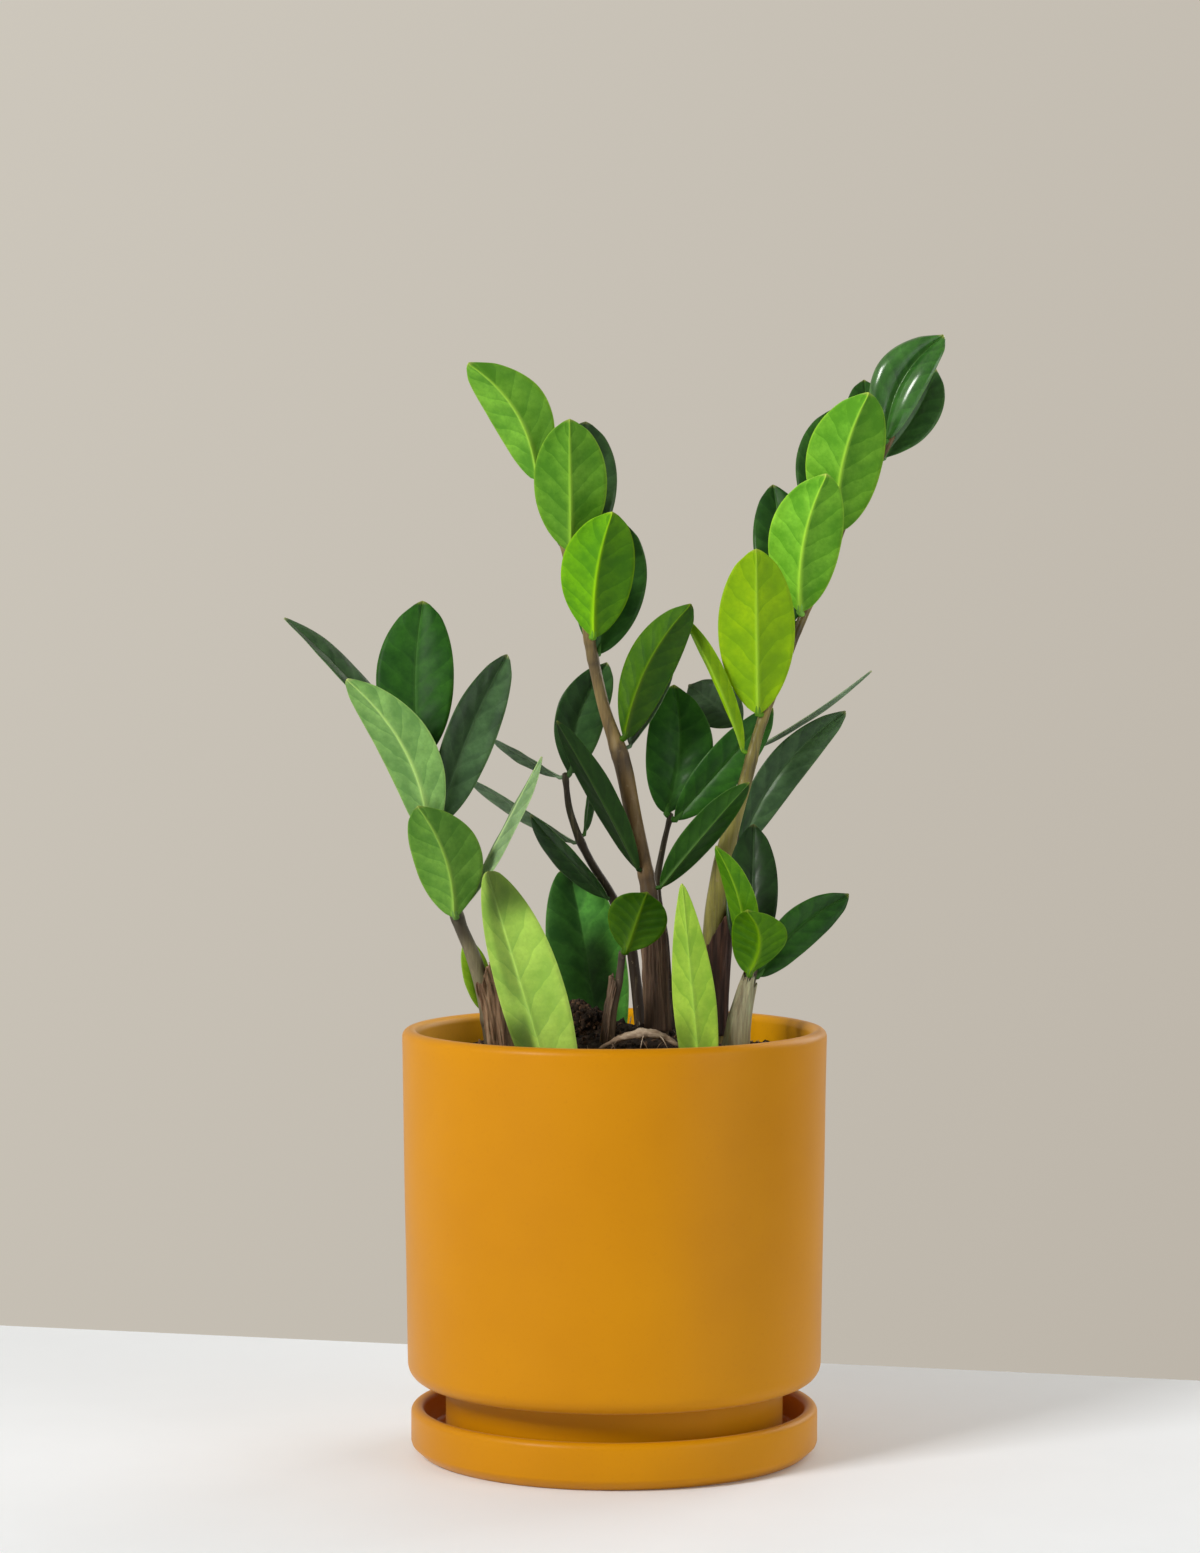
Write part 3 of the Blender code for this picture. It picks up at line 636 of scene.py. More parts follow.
def stem_finish(name, foot, middle_tone, top, reach, roughness=0.45):
    """Stem skin: three tones up the stem, blotched, with lengthwise wrinkles, darkened at each joint and in
    a band just below it.
    """
    made = Finish(name, roughness, Specular_IOR_Level=0.26)
    along = made.attribute("along")
    mottle = made.noise(150.0, 5.0, stretch=(1.0, 1.0, 0.4))
    shifted = made.maths("MULTIPLY_ADD", made.maths("SUBTRACT", mottle, 0.5), 0.6, along)
    tone = made.ramp(shifted, (0.05, foot), (reach, middle_tone), (0.95, top))
    streaks = made.noise(420.0, 5.0, stretch=(1.0, 1.0, 0.07), rough=0.7)
    dark = made.rising(streaks, 0.45, 0.68)
    tone = made.stain(tone, dark, 0.7, (0.028, 0.018, 0.009))
    pale = made.falling(streaks, 0.30, 0.42)
    tone = made.stain(tone, pale, 0.35, (0.34, 0.27, 0.15))
    fleck = made.rising(made.noise(640.0, 2.0), 0.66, 0.72)
    tone = made.stain(tone, fleck, 0.5, (0.28, 0.21, 0.12))
    joint_darkening = made.attribute("joint_darkening")
    tone = made.stain(tone, joint_darkening, 0.75, (0.030, 0.020, 0.014))
    made.colour(tone)
    made.roughness(made.maths("MULTIPLY_ADD", streaks, 0.3, roughness - 0.12))
    made.bump(streaks, 0.7, 0.0004)
    made.bump(made.noise(900.0, 3.0, stretch=(1.0, 1.0, 0.2)), 0.3, 0.0001)
    return made.material


# Colours at the foot, half way and at the top of a stem, where the middle one lies, and roughness.
stem_skins = {key: stem_finish("skin_" + key, *tones) for key, tones in {
    "stem_left": ((0.10, 0.076, 0.048), (0.17, 0.15, 0.080), (0.045, 0.09, 0.02), 0.40),
    "stem_middle": ((0.05, 0.03, 0.014), (0.16, 0.096, 0.036), (0.28, 0.215, 0.075), 0.42),
    "stem_right": ((0.10, 0.09, 0.025), (0.27, 0.245, 0.062), (0.17, 0.11, 0.045), 0.35, 0.24),
    "shoot_front": ((0.10, 0.062, 0.036), (0.14, 0.096, 0.058), (0.07, 0.05, 0.036), 0.5),
    "dark": ((0.030, 0.019, 0.012), (0.040, 0.025, 0.016), (0.05, 0.045, 0.022), 0.5),
}.items()}

slots = {part["node"]: part["material_slot"] for part in frame["record"]["subparts"]}
leaf_names = sorted(name for name in frame["nodes"] if name.startswith("leaf_"))
leaf_feet = {}
for name in leaf_names:
    leaf_corners, _ = loose_points(name)
    leaf_feet[name] = leaf_corners[leaf_corners[:, 2] < leaf_corners[:, 2].min() + 0.0012].mean(axis=0)


def along_route(route, side):
    """Every point of a route with its number and two ways out, square to the route."""
    last = len(route) - 1
    for index, centre in enumerate(route):
        along = Vector(route[min(index + 1, last)] - route[max(index - 1, 0)]).normalized()
        side = (side - along * side.dot(along)).normalized()
        yield index, centre, side, along.cross(side)


def make_stem(node):
    """Tube along a stem's centre line, wrinkled, and swollen where leaflets join it."""
    centres, radii = centre_line(node)
    mesh = bmesh.new()
    layer = mesh.verts.layers.float.new("along")
    marks = mesh.verts.layers.float.new("joint_darkening")
    joints = []
    for foot in leaf_feet.values():
        away = np.linalg.norm(centres - foot, axis=1)
        if away.min() < radii[away.argmin()] + 0.0025:
            joints.append(centres[away.argmin()][2])
    seed = float(sum(ord(letter) for letter in node))
    rows = []
    for index, centre, side, other in along_route(centres, Vector((1.0, 0.0, 0.0))):
        swell = sum(0.10 * math.exp(-((centre[2] - joint + 0.001) / 0.0014) ** 2) for joint in joints)
        ring = sum(math.exp(-((centre[2] - joint + 0.0022) / 0.0005) ** 2) for joint in joints)
        # A darker band a few millimetres below each joint goes into the same mask as the ring at the joint.
        stain = sum(math.exp(-((centre[2] - joint + 0.0050) / 0.0035) ** 2) for joint in joints)
        joint_darkening = min(1.0, ring + 0.55 * stain)
        row = []
        for step in range(STEM_SIDES):
            angle = math.tau * step / STEM_SIDES
            spot = Vector((math.cos(angle) * 1.6 + seed, math.sin(angle) * 1.6, centre[2] * 55.0))
            wrinkle = 0.07 * noise.noise(spot) + 0.05 * noise.noise(
                Vector((math.cos(angle) * 4.0, math.sin(angle) * 4.0 + seed, centre[2] * 25.0)))
            radius = radii[index] * (1.0 + swell + wrinkle)
            out = side * math.cos(angle) + other * math.sin(angle)
            vertex = mesh.verts.new(Vector(centre) + out * radius)
            vertex[layer] = index / (len(centres) - 1)
            vertex[marks] = joint_darkening
            row.append(vertex)
        rows.append(row)
    skin(mesh, rows)
    for row, outward in ((rows[0], -1), (rows[-1], 1)):
        end = sum((vertex.co for vertex in row), Vector()) / STEM_SIDES
        peak = mesh.verts.new(end + Vector((0, 0, outward * 0.0004)))
        peak[layer] = 0.0 if outward < 0 else 1.0
        for step in range(STEM_SIDES):
            mesh.faces.new((row[step], row[(step + 1) % STEM_SIDES], peak))
    bmesh.ops.recalc_face_normals(mesh, faces=mesh.faces)
    piece = new_piece(node + "_stalk", mesh, [stem_skins.get(node, stem_skins["dark"])])
    fit(piece, slots[node], node)
    return centres, radii


stem_names = sorted(name for name in frame["nodes"] if name.startswith(("stem_", "shoot_")))
stem_lines = {name: make_stem(name) for name in stem_names}


# Sheaths. Dry papery sleeves left at the foot of the stems, split down one side, ribbed lengthwise
# and torn at the top. Each keeps to the sleeve that the frame holds round its stem.
def sheath_finish(name, dark, light, thin):
    """Fibrous paper: long pale and dark fibres over a brown or grey-green ground."""
    made = Finish(name, 0.72, Specular_IOR_Level=0.3, Subsurface_Weight=0.08, Subsurface_Scale=0.001)
    fibres = made.noise(160.0, 6.0, stretch=(2.6, 2.6, 0.14), rough=0.72)
    patches = made.noise(55.0, 4.0, stretch=(1.0, 1.0, 0.5))
    tone = made.ramp(fibres, (0.34, dark), (0.52, light), (0.66, thin))
    made.colour(made.stain(tone, patches, 0.55, dark))
    made.bump(fibres, 0.8, 0.0009)
    made.bump(made.noise(700.0, 3.0, stretch=(1.0, 1.0, 0.08)), 0.5, 0.0002)
    return made.material


# Dark, light and thinnest fibres of each sheath's paper.
sheath_skins = {key: sheath_finish(key + "_fibres", *tones) for key, tones in {
    "sheath_left": ((0.055, 0.026, 0.012), (0.26, 0.155, 0.085), (0.45, 0.31, 0.19)),
    "sheath_middle": ((0.030, 0.016, 0.009), (0.105, 0.060, 0.034), (0.24, 0.155, 0.095)),
    "sheath_front": ((0.045, 0.028, 0.018), (0.16, 0.105, 0.065), (0.30, 0.21, 0.14)),
    "sheath_right": ((0.012, 0.006, 0.004), (0.045, 0.018, 0.010), (0.11, 0.045, 0.022)),
    "sheath_shoot": ((0.15, 0.125, 0.07), (0.30, 0.28, 0.165), (0.44, 0.48, 0.28)),
}.items()}


# Per sheath: how far it stands off its stem at the foot and at the top (metres), how much higher
# its right edge is than its left as a share of its height, how ragged its top is, the height that
# it gains over the sleeve in the frame, and how crumpled its paper is.
SHEATH_SHAPES = {
    "sheath_left": (0.0020, 0.0032, 0.50, 0.0016, 0.0095, 1.0),
    "sheath_middle": (0.0006, 0.0008, 0.16, 0.0022, 0.0000, 0.7),
    "sheath_front": (0.0008, 0.0014, -0.40, 0.0012, 0.0025, 0.6),
    "sheath_right": (0.0006, 0.0014, 0.45, 0.0010, 0.0035, 0.5),
    "sheath_shoot": (0.0026, 0.0009, -0.16, 0.0036, 0.0010, 0.15),
}


PAPER_LEVELS = 56
PAPER_TURNS = 72
PAPER_OUTSIDE = 0.00016
PAPER_INSIDE = -0.00022


def hem(mesh, one, two):
    """Close the gap between two sheets of rows along all four sides."""
    faces = []
    for end in (0, -1):
        faces += skin(mesh, [one[end], two[end]], closed=False)
        faces += skin(mesh, [[row[end] for row in sheet] for sheet in (one, two)], closed=False)
    return faces


def make_sheath(node):
    """Sleeve of paper round its stem: the frame's angles and radii, with ribs and a torn top."""
    points, triangles = loose_points(node)
    middle_point = (points.max(axis=0) + points.min(axis=0)) / 2
    centres, radii = min(stem_lines.values(),
                         key=lambda line: np.linalg.norm(line[0] - middle_point, axis=1).min())
    low, high = points[:, 2].min(), points[:, 2].max()
    off_foot, off_top, slope, ragged, gain, crumple = SHEATH_SHAPES[node]
    seed = float(len(node)) * 3.7 + low * 100.0

    def stem_middle(height):
        return np.array([np.interp(height, centres[:, 2], centres[:, axis]) for axis in (0, 1)])

    spans = []
    for share in (0.06, 0.2, 0.35):
        height = low + (high - low) * share
        cut = level_cut(points, triangles, height)
        away = cut[:, :2] - stem_middle(height)
        heading = math.atan2(away[:, 1].mean(), away[:, 0].mean())
        beside = (np.arctan2(away[:, 1], away[:, 0]) - heading + math.pi) % math.tau - math.pi
        spans.append((heading + beside.min(), heading + beside.max()))
    first, last = np.unwrap(np.array(spans), axis=0)[:3].mean(axis=0)
    mesh = bmesh.new()
    sheets = []
    for offset in (PAPER_OUTSIDE, PAPER_INSIDE):
        rows = []
        for level in range(PAPER_LEVELS + 1):
            share = level / PAPER_LEVELS
            row = []
            for turn in range(PAPER_TURNS + 1):
                angle = first + (last - first) * turn / PAPER_TURNS
                rightness = math.cos(angle)
                tear = ragged * noise.noise(Vector((angle * 3.0, seed, 0.0)))
                tear += 0.8 * ragged * noise.noise(Vector((angle * 9.0, seed, 2.0)))
                tear += 0.5 * ragged * abs(noise.noise(Vector((angle * 26.0, seed, 4.0))))
                top = (high - low + gain) * (1.0 - abs(slope) * 0.5 + slope * 0.5 * rightness) + tear
                height = low + 0.0003 + top * share
                stem_radius = np.interp(height, centres[:, 2], radii)
                centre = stem_middle(height)
                spot = Vector((math.cos(angle) * 3.2 + seed, math.sin(angle) * 3.2, share * 1.4))
                folds = crumple * (0.0009 * noise.noise(spot) + 0.0006 * noise.noise(spot * 3.1))
                creases = crumple * 0.00035 * noise.noise(Vector((angle * 7.0, seed, share * 7.0)))
                stand = off_foot * (1.0 - share) + off_top * share
                stand *= 1.0 + 0.5 * rightness * (slope > 0.4)
                curl = crumple * 0.0018 * share ** 5 * noise.noise(spot * 1.7 + Vector((0, 0, 5)))
                radius = stem_radius + max(0.0004, stand + folds + curl) + creases + offset
                row.append(mesh.verts.new((centre[0] + radius * math.cos(angle),
                                           centre[1] + radius * math.sin(angle), height)))
            rows.append(row)
        sheets.append(rows)
    for rows in sheets:
        skin(mesh, rows, closed=False)
    hem(mesh, *sheets)
    bmesh.ops.recalc_face_normals(mesh, faces=mesh.faces)
    piece = new_piece(node + "_paper", mesh, [sheath_skins[node]])
    fit(piece, slots[node], node)


for name in sorted(sheath_skins):
    make_sheath(name)


# Root. One bare, dry root that arches over the soil, knobbly, with hair roots hanging from it.
def root_finish():
    """Pale fibrous bark with brown cracks."""
    made = Finish("root_bark", 0.8, Specular_IOR_Level=0.3)
    fibres = made.noise(160.0, 6.0, stretch=(0.25, 1.0, 1.0), rough=0.7)
    made.colour(made.ramp(fibres, (0.36, (0.05, 0.032, 0.020)), (0.52, (0.22, 0.150, 0.095)),
                          (0.66, (0.50, 0.40, 0.29))))
    made.bump(fibres, 0.8, 0.0006)
    return made.material


def tube_along(mesh, route, radii, sides=12, rough=0.12, seed=0.0):
    """Closed round tube along points, with a knobbly skin, added to a mesh."""
    rows = []
    for index, centre, side, other in along_route(route, Vector((0.0, 0.0, 1.0))):
        row = []
        for step in range(sides):
            angle = math.tau * step / sides
            out = side * math.cos(angle) + other * math.sin(angle)
            bump = 1.0 + rough * noise.noise(centre * 900.0 + out * 1.5 + Vector((seed, 0, 0)))
            row.append(mesh.verts.new(centre + out * radii[index] * bump))
        rows.append(row)
    skin(mesh, rows)
    mesh.faces.new(list(reversed(rows[0])))
    mesh.faces.new(rows[-1])


root_points, root_triangles = loose_points("root")
root_cuts = []
for x in np.linspace(root_points[:, 0].min() + 0.001, root_points[:, 0].max() - 0.001, 40):
    cut = section(root_points, root_triangles, np.array([x, 0, 0]), np.array([1.0, 0.0, 0.0]))
    root_cuts.append(cut.mean(axis=0))
root_mesh = bmesh.new()
root_base = min(cut[2] for cut in smoothed(np.array(root_cuts), 3))
ROOT_RADIUS = 0.00135
ROOT_ARCH = 0.95
HAIR_RADIUS = 0.00022
HAIR_STEPS = 6
root_route, root_radii = [], []
for index, (x, y, z) in enumerate(smoothed(np.array(root_cuts), 3)):
    wander = 0.0016 * noise.noise(Vector((index * 0.16, 7.0, 0.0)))
    root_route.append(Vector((x, y + wander, root_base + (z - root_base) * ROOT_ARCH)))
    knob = 1.0 + 0.35 * noise.noise(Vector((index * 0.31, 4.0, 0.0)))
    taper = 1.0 - 0.75 * abs(2 * index / (len(root_cuts) - 1) - 1) ** 1.6
    root_radii.append(ROOT_RADIUS * taper * knob)
tube_along(root_mesh, root_route, root_radii, sides=20, rough=0.30)
for index, (dx, dy, length) in enumerate(((0.4, -0.5, 0.006), (-0.6, -0.3, 0.008), (0.7, 0.1, 0.007),
                                          (-0.3, -0.6, 0.005), (0.5, -0.4, 0.009), (-0.8, 0.2, 0.006))):
    start = root_route[5 + index * 5]
    shares = [step / HAIR_STEPS for step in range(HAIR_STEPS + 1)]
    hair = [start + Vector((dx, dy, -0.9 * share)) * length * share for share in shares]
    hair_radii = [HAIR_RADIUS * (1 - 0.6 * share) for share in shares]
    tube_along(root_mesh, hair, hair_radii, sides=6, rough=0.2, seed=index)
bmesh.ops.recalc_face_normals(root_mesh, faces=root_mesh.faces)
root_piece = new_piece("bare_root", root_mesh, [root_finish()])
fit(root_piece, "root", "root")


# Leaflets. Waxy folded blades: dark above, paler below, with a thick midrib under the fold that
# fades towards the tip and side veins that curve forward. Young ones are thin and yellow-green.
VEINS = 7.0
VEIN_SWEEP = 1.4
VEIN_BEND = 1.3


def leaf_skin(name, base, shade, vein, rib, roughness, glow):
    """Blade skin from the leaflet's own UV map: across the blade and along it."""
    made = Finish(name, roughness, Specular_IOR_Level=0.13, Coat_Roughness=0.2,
                  Subsurface_Weight=glow, Subsurface_Scale=0.003, Subsurface_Radius=(0.6, 1.0, 0.1))
    split = made.tree.nodes.new("ShaderNodeSeparateXYZ")
    made.link(made.place.outputs["UV"], split.inputs[0])
    across = made.maths("ABSOLUTE", made.maths("MULTIPLY_ADD", split.outputs["X"], 2.0, -1.0))
    along = split.outputs["Y"]
    warp = made.maths("MULTIPLY_ADD", made.noise(90.0, 2.0), 1.0, -0.5)
    slant = made.maths("MULTIPLY_ADD", made.maths("POWER", across, VEIN_BEND), -VEIN_SWEEP,
                       made.maths("MULTIPLY", along, VEINS))
    slant = made.maths("ADD", warp, slant)
    saw = made.maths("FRACT", slant)
    lines = made.falling(saw, 0.0, 0.20)
    fade = made.falling(across, 0.0, 0.92)
    lines = made.maths("MULTIPLY", lines, fade)
    mottle = made.noise(110.0, 5.0, rough=0.65)
    cells = made.noise(800.0, 3.0)
    # The sawtooth share is painted shade: each band between side veins runs from dark beside one vein to
    # light, like shading on a quilted blade. The noise share is the blade's own mottle.
    mottle_and_band_shade = made.maths("MULTIPLY_ADD", saw, 0.45, made.maths("MULTIPLY_ADD", mottle, 2.6, -1.25))
    mottle_and_band_shade = made.maths("MULTIPLY_ADD", made.noise(38.0, 2.0), 0.9, made.maths("SUBTRACT", mottle_and_band_shade, 0.35))
    tone = made.blend(made.maths("MINIMUM", made.maths("MAXIMUM", mottle_and_band_shade, 0.0), 1.0), shade, base)
    specks = made.rising(cells, 0.45, 0.62)
    tone = made.stain(tone, specks, 0.30, shade)
    tone = made.stain(tone, lines, 0.55, vein)
    ribbed = made.attribute("rib")
    tone = made.stain(tone, ribbed, 0.85, rib)
    edge = made.rising(across, 0.965, 1.0)
    tone = made.stain(tone, edge, 0.45, rib)
    blush = made.rising(along, 0.955, 1.0)
    tone = made.stain(tone, blush, 0.5, (0.42, 0.40, 0.10))
    adjust = made.tree.nodes.new("ShaderNodeHueSaturation")
    made.link(tone, adjust.inputs["Color"])
    # The light attribute carries each leaflet's lightness together with painted light and shade: one half
    # painted lighter on the side the lamp falls on, and the neighbours' shadows painted in.
    made.link(made.attribute("light"), adjust.inputs["Value"])
    made.link(made.attribute("fresh"), adjust.inputs["Saturation"])
    made.colour(adjust.outputs["Color"])
    made.link(made.attribute("shine"), made.shader.inputs["Coat Weight"])
    made.roughness(made.maths("MULTIPLY_ADD", mottle, 0.2, roughness - 0.08))
    made.bump(made.maths("MULTIPLY_ADD", saw, -0.8, lines), 0.3, 0.0003)
    made.bump(cells, 0.3, 0.00012)
    return made.material


# Per slot: ground, a darker tone for patches and painted band shade, side veins and midrib, roughness, and
# light passing through.
UPPER = {key: leaf_skin(key + "_upper", *tones) for key, tones in {
    "young_leaf": ((0.25, 0.43, 0.020), (0.16, 0.31, 0.012), (0.11, 0.27, 0.02),
                  (0.11, 0.26, 0.03), 0.45, 0.14),
    "light_leaf": ((0.056, 0.200, 0.017), (0.024, 0.110, 0.009), (0.09, 0.25, 0.03),
                  (0.15, 0.33, 0.05), 0.42, 0.06),
    "dark_leaf": ((0.032, 0.114, 0.015), (0.011, 0.048, 0.007), (0.045, 0.135, 0.022),
                  (0.055, 0.150, 0.028), 0.52, 0.03),
}.items()}
UNDER = {key: leaf_skin(key + "_under", *tones) for key, tones in {
    "young_leaf": ((0.32, 0.52, 0.024), (0.18, 0.35, 0.010), (0.15, 0.33, 0.015),
                  (0.36, 0.60, 0.06), 0.55, 0.16),
    "light_leaf": ((0.145, 0.345, 0.022), (0.055, 0.185, 0.006), (0.06, 0.19, 0.008),
                  (0.26, 0.48, 0.035), 0.52, 0.10),
    "dark_leaf": ((0.048, 0.140, 0.020), (0.024, 0.080, 0.011), (0.025, 0.08, 0.012),
                  (0.10, 0.22, 0.045), 0.50, 0.05),
}.items()}
# How light, how fresh green and how shiny each leaflet is that differs from its neighbours, and how much
# lighter its right half is than its left. The lightness is partly the leaflet's own tone and partly painted
# light and shade, and the lighter half is painted light on the half turned to the lamp.
LEAF_MOODS = {
    "leaf_left_1": (0.78, 0.93, 0.0, -0.14), "leaf_left_2": (1.25, 0.78, 0.0, 0.05),
    "leaf_left_3": (1.15, 1.05, 0.0, 0.0), "leaf_left_4": (1.1, 0.7, 0.1, 0.0),
    "leaf_left_5": (1.2, 0.72, 0.1, 0.35), "leaf_left_6": (1.1, 0.6, 0.05, 0.1),
    "leaf_left_7": (0.9, 1.0, 0.05, 0.0), "leaf_middle_1": (1.05, 0.98, 0.05, -0.16),
    "leaf_middle_2": (0.95, 1.0, 0.05, -0.08), "leaf_middle_3": (1.0, 0.8, 0.35, 0.0),
    "leaf_middle_4": (0.95, 1.10, 0.05, -0.34), "leaf_middle_5": (1.1, 1.0, 0.1, 0.0),
    "leaf_middle_6": (0.33, 1.22, 0.05, -0.35), "leaf_middle_7": (1.2, 0.6, 0.2, 0.0),
    "leaf_middle_8": (0.26, 1.05, 0.0, 0.2), "leaf_middle_9": (0.60, 1.1, 0.05, -0.1),
    "leaf_back_1": (1.0, 0.85, 0.05, 0.25), "leaf_back_2": (2.2, 0.5, 0.05, 0.0),
    "leaf_back_3": (2.2, 0.55, 0.05, 0.0), "leaf_back_4": (0.9, 0.85, 0.1, 0.0),
    "leaf_branch_1": (1.25, 1.05, 0.05, 0.0), "leaf_branch_2": (1.2, 1.05, 0.05, 0.0),
    "leaf_right_1": (0.86, 1.05, 0.05, -0.05), "leaf_right_2": (1.45, 1.0, 0.05, -0.22),
    "leaf_right_3": (1.30, 1.0, 0.05, -0.25), "leaf_right_4": (1.0, 1.0, 0.1, 0.0),
    "leaf_right_6": (1.75, 1.0, 1.0, 0.0), "leaf_right_7": (1.25, 0.9, 0.3, 0.1),
    "leaf_right_9": (0.95, 1.05, 0.05, -0.4), "leaf_right_back_1": (1.25, 0.72, 0.1, 0.15),
    "leaf_right_back_2": (2.4, 0.5, 0.05, 0.0), "leaf_right_back_3": (1.1, 0.6, 0.1, 0.0),
    "leaf_front": (0.33, 1.15, 0.0, 0.0), "leaf_shoot_1": (0.44, 0.9, 0.12, 0.0),
    "leaf_shoot_2": (0.72, 1.05, 0.05, 0.0), "leaf_shoot_3": (0.60, 1.08, 0.0, 0.0),
    "leaf_shoot_4": (0.75, 1.05, 0.1, 0.0), "leaf_low_left": (1.15, 0.88, 0.0, 0.12),
    "leaf_low_back": (4.2, 0.98, 0.0, 0.42), "leaf_low_right": (1.05, 0.94, 0.0, 0.0),
}
# Shadows that neighbours throw on the leaflets that stand in the soil: place across and half width
# (in half blades, from the left edge at -1), place along and half length, and depth.
LEAF_SHADOWS = {
    "leaf_low_left": ((0.3, 1.0, 1.0, 0.25, 0.80), (-0.45, 0.30, 0.60, 0.24, 0.42),
                      (-0.7, 0.4, 0.05, 0.24, 0.70)),
    "leaf_low_back": ((-0.5, 0.48, 0.7, 0.9, 0.25), (0.35, 0.45, 0.20, 0.42, 0.90),
                      (0.4, 0.9, 1.05, 0.20, 0.88)),
    "leaf_low_right": ((-0.8, 0.5, 0.02, 0.25, 0.45),),
}
# How those leaflets' left and right halves compare with the sleeve's, and how round their tips are.
LOW_SHAPES = {"leaf_low_left": (0.70, 1.12, 2.2, 0.66), "leaf_low_back": (1.0, 1.0, 2.4, 0.6),
              "leaf_low_right": (0.95, 1.05, 1.7, 0.85)}
BLADE = 0.00055
MIDRIB = 0.00055
THIN_MIDRIB = 0.00035
ARCH = 0.07
SHINY_ARCH = 0.22
LOW_PALENESS = 0.35
ALONG = 48
HALF_ACROSS = 12


def read_blade(node):
    """Left edge, fold and right edge of a leaflet's solid from foot to tip, and the way it faces."""
    points, triangles = loose_points(node)
    foot = leaf_feet[node]
    away = np.linalg.norm(points - foot, axis=1)
    tip = points[away > away.max() - 0.0004].mean(axis=0)
    axis = (tip - foot) / np.linalg.norm(tip - foot)
    length = np.linalg.norm(tip - foot)
    steps = np.linspace(0.0012, length - 0.0008, 30)
    cuts = [section(points, triangles, foot + axis * step, axis) for step in steps]
    spans = [np.linalg.norm(cut[:, None] - cut[None], axis=2) for cut in cuts]
    widest = int(np.argmax([span.max() for span in spans]))
    pair = np.unravel_index(spans[widest].argmax(), spans[widest].shape)
    across = cuts[widest][pair[1]] - cuts[widest][pair[0]]
    across = across - axis * (across @ axis)
    across /= np.linalg.norm(across)
    face = np.cross(across, axis)
    wide = cuts[widest] @ across
    ends = cuts[widest][(wide < wide.min() + 0.0004) | (wide > wide.max() - 0.0004)]
    inside = cuts[widest][np.abs(wide - (wide.max() + wide.min()) / 2) < (wide.max() - wide.min()) * 0.2]
    if (ends @ face).mean() < (inside @ face).mean():
        across, face = -across, -face
    left, fold, right = [], [], []
    for cut in cuts:
        wide = cut @ across
        deep = cut @ face
        left.append(cut[wide < wide.min() + 0.0004].mean(axis=0))
        right.append(cut[wide > wide.max() - 0.0004].mean(axis=0))
        lowest = cut[deep < deep.min() + 0.00005].mean(axis=0)
        fold.append(lowest + face * BLADE * 0.5)
    rows = [smoothed(np.array(row), 3) for row in (left, fold, right)]
    rows = [np.vstack([[row[0] - axis * 0.0012], row, [row[-1] + axis * 0.0008]]) for row in rows]
    return rows, face


def resample(row, count):
    """Even steps along a run of points."""
    source = np.linspace(0.0, 1.0, len(row))
    wanted = np.linspace(0.0, 1.0, count)
    return np.stack([np.interp(wanted, source, row[:, axis]) for axis in range(3)], axis=1)


def half_blade(node, edge, fold, side):
    """Ways out from the fold and widths of one half, foot to tip, as wide as the solid's half is."""
    out = edge - fold
    width = np.linalg.norm(out, axis=1)
    way = smoothed(out / np.maximum(width, 0.0001)[:, None], 10)
    way = way[np.clip(np.arange(len(way)), 6, len(way) - 8)]
    way = smoothed(way / np.linalg.norm(way, axis=1)[:, None], 6)
    share = np.linspace(0.0, 1.0, len(way))
    if node in LOW_SHAPES:
        beyond = np.clip((share - 0.35) / 0.65, 0.0, 1.0)
        shape = (1.0 - beyond ** LOW_SHAPES[node][2]) ** LOW_SHAPES[node][3]
        shape *= 0.82 + 0.18 * np.sin(np.clip(share / 0.35, 0.0, 1.0) * math.pi / 2)
        shape *= LOW_SHAPES[node][side]
    else:
        away = np.abs(2.0 * share - 1.0)
        shape = np.where(share < 0.5, (1.0 - away ** 2.2) ** 0.74, (1.0 - away ** 2.0) ** 0.72)
        shape *= 1.0 - 0.45 * np.clip((share - 0.88) / 0.12, 0.0, 1.0) ** 1.5
    return way, np.maximum(shape * width.max(), 0.0002)


def stalk_near(foot):
    """Point inside the nearest stem that a leaflet's foot grows from, or None for one in the soil."""
    best = None
    for centres, radii in stem_lines.values():
        away = np.linalg.norm(centres - foot, axis=1)
        index = int(away.argmin())
        if best is None or away[index] - radii[index] < best[0]:
            best = (away[index] - radii[index], centres[index], radii[index])
    if best[0] > 0.004:
        return None
    return best[1] + (foot - best[1]) / np.linalg.norm(foot - best[1]) * best[2] * 0.4


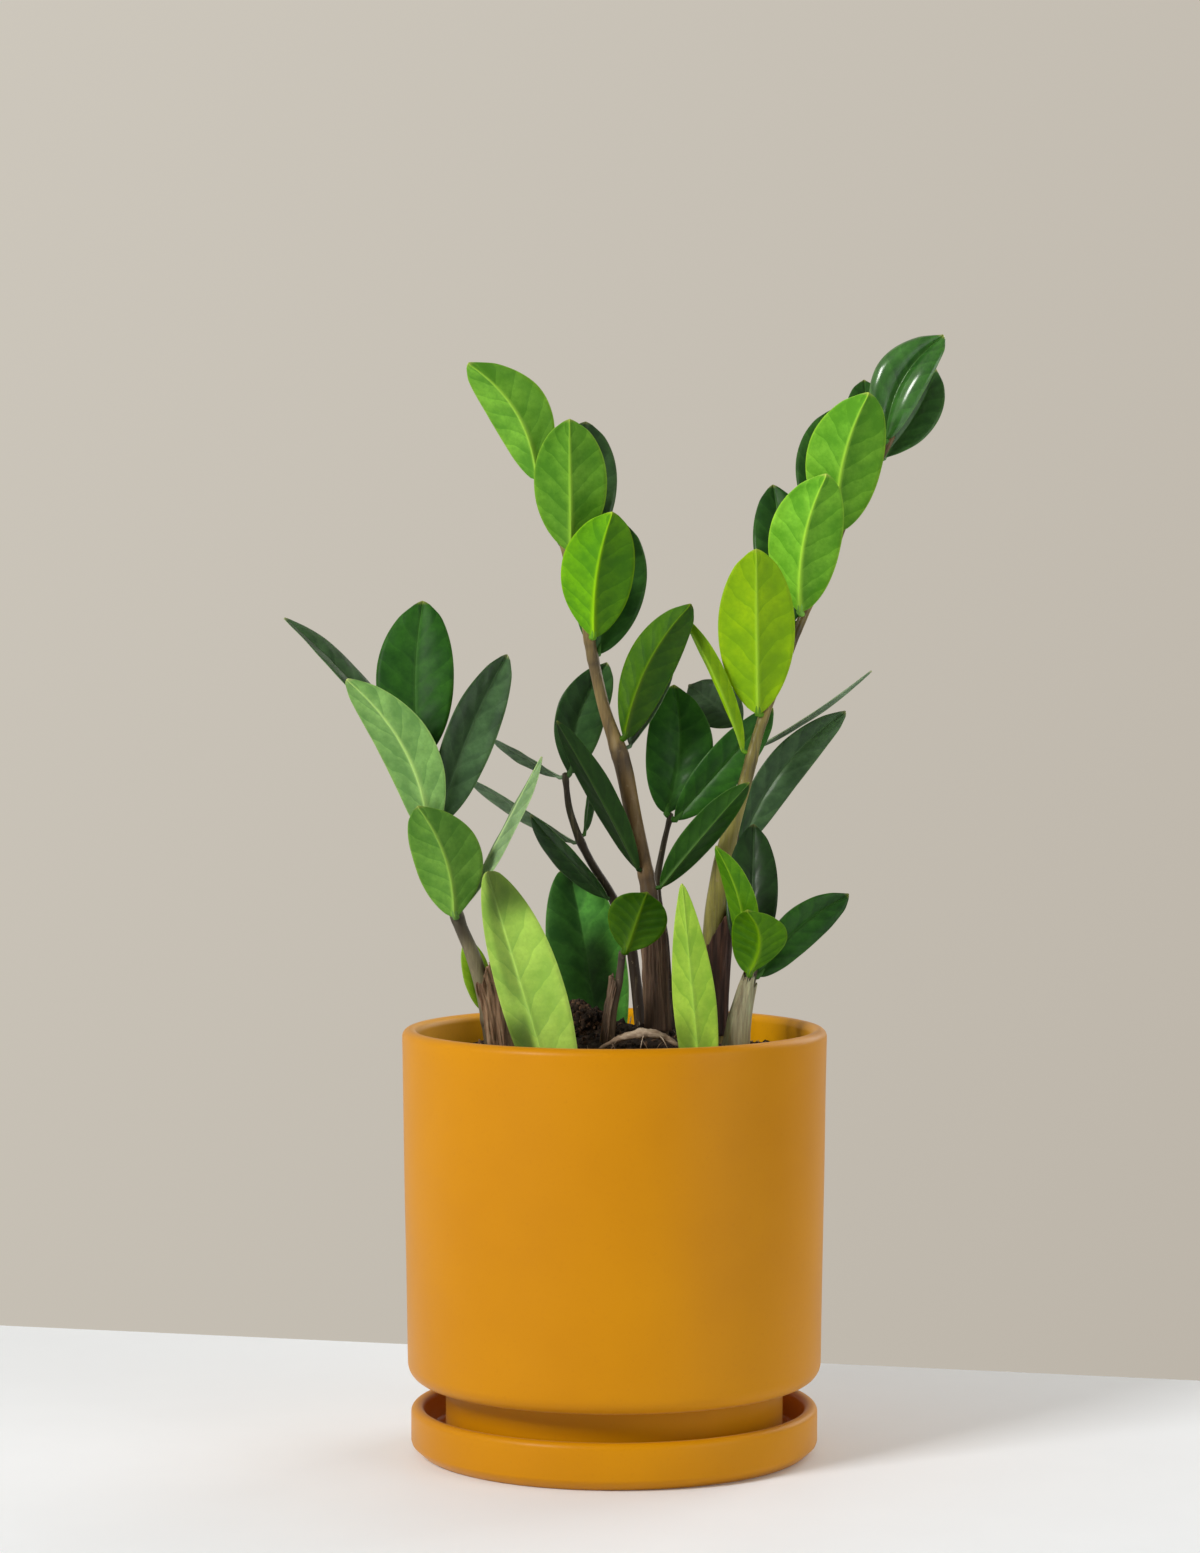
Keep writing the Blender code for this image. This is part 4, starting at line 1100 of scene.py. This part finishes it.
def make_leaflet(node):
    """Closed waxy blade: arched halves, wavy edge, thick rib below the fold, groove above it."""
    (left, fold, right), face = read_blade(node)
    left, fold, right = (resample(row, ALONG + 1) for row in (left, fold, right))
    seed = float(sum(ord(letter) * (place + 1) for place, letter in enumerate(node)) % 97)
    light, fresh, shine, painted_half_light = LEAF_MOODS.get(node, (1.0, 1.0, 0.08, 0.0))
    painted_half_light = math.copysign(painted_half_light, painted_half_light * (right[ALONG // 2] - left[ALONG // 2])[0])
    facing = 1 if (right[ALONG // 2] - left[ALONG // 2])[0] > 0 else -1
    sides = (0, 1) if facing > 0 else (1, 0)
    halves = [half_blade(node, edge, fold, side) for edge, side in zip((left, right), sides)]
    widest = max(widths.max() for _, widths in halves)
    rib_width = MIDRIB if widest > 0.006 else THIN_MIDRIB
    arch = SHINY_ARCH if shine > 0.9 else ARCH
    paleness = LOW_PALENESS if node in LOW_SHAPES else 1.0
    mesh = bmesh.new()
    layers = {key: mesh.verts.layers.float.new(key) for key in ("light", "fresh", "shine", "rib")}
    uv = mesh.loops.layers.uv.new("blade")
    places = {}
    sheets = []
    for sign in (1.0, -1.0):
        grid = []
        for step in range(ALONG + 1):
            share = step / ALONG
            rib = rib_width * (1.5 - 1.25 * share)
            row = []
            for column in range(2 * HALF_ACROSS + 1):
                turn = (column - HALF_ACROSS) / HALF_ACROSS
                out = abs(turn) ** 1.45
                way, widths = halves[0 if turn < 0 else 1]
                half = widths[step]
                full = min(1.0, half / 0.006)
                bell = 4 * out * (1.0 - out)
                wave = 0.0006 * out ** 3 * noise.noise(Vector((share * 4.5, turn * 0.8, seed))) * full
                slant = share * VEINS - abs(turn) ** VEIN_BEND * VEIN_SWEEP
                quilt = 0.00010 * bell * math.sin(math.tau * slant) * full * full * (1.0 - shine)
                lump = 0.0005 * bell * noise.noise(Vector((share * 3.0, turn * 1.5, seed + 9.0))) * full
                lift = arch * half * bell + wave + quilt + lump
                point = fold[step] + way[step] * (half * out) + face * lift
                ridge = math.exp(-(half * out / rib) ** 2)
                thick = BLADE * 0.5 * (1.0 - 0.75 * out ** 4)
                if sign > 0:
                    point = point + face * (thick - 0.00018 * ridge)
                else:
                    point = point - face * (thick + rib * 0.75 * ridge)
                vertex = mesh.verts.new(point)
                # Painted light and shade: one half is painted lighter on the side the lamp falls on, and the
                # neighbours' shadows are painted in as darker patches.
                tone_and_painted_light = light * (1.0 + painted_half_light * math.tanh(turn * 9.0))
                for place, broad, height, tall, depth in LEAF_SHADOWS.get(node, ()):
                    off_side, off_height = (turn * facing - place) / broad, (share - height) / tall
                    tone_and_painted_light *= 1.0 - depth * math.exp(-off_side ** 6 - off_height ** 6)
                pale = min(1.0, 1.3 * ridge) * paleness * (1.0 if sign < 0 else 0.5)
                for key, value in (("light", tone_and_painted_light), ("fresh", fresh), ("shine", shine), ("rib", pale)):
                    vertex[layers[key]] = value
                places[vertex] = ((turn + 1) / 2, share)
                row.append(vertex)
            grid.append(row)
        sheets.append(grid)
    for index, grid in enumerate(sheets):
        for made in skin(mesh, grid, closed=False):
            made.material_index = index
    for made in hem(mesh, *sheets):
        made.material_index = 1
    start = stalk_near(leaf_feet[node])
    if start is not None:
        route = [Vector(start), Vector(start).lerp(Vector(fold[0]), 0.5)]
        route += [Vector(fold[step]) for step in (0, 2, 4)]
        first = len(mesh.verts)
        mesh.verts.ensure_lookup_table()
        thick = rib_width * 1.8
        stalk_radii = [thick * share for share in (1.0, 1.05, 1.0, 0.8, 0.4)]
        tube_along(mesh, route, stalk_radii, sides=10, rough=0.05)
        mesh.verts.ensure_lookup_table()
        for vertex in mesh.verts[first:]:
            for key, value in (("light", light), ("fresh", fresh), ("shine", 0.0), ("rib", 1.0)):
                vertex[layers[key]] = value
            places[vertex] = (0.5, 0.05)
        for made in mesh.faces:
            if made.verts[0] in places and made.verts[0].index >= first:
                made.material_index = 1
    bmesh.ops.recalc_face_normals(mesh, faces=mesh.faces)
    for made in mesh.faces:
        for loop in made.loops:
            loop[uv].uv = places[loop.vert]
    finish = slots[node]
    piece = new_piece(node + "_blade", mesh, [UPPER[finish], UNDER[finish]])
    fit(piece, finish, node)


for name in leaf_names:
    make_leaflet(name)
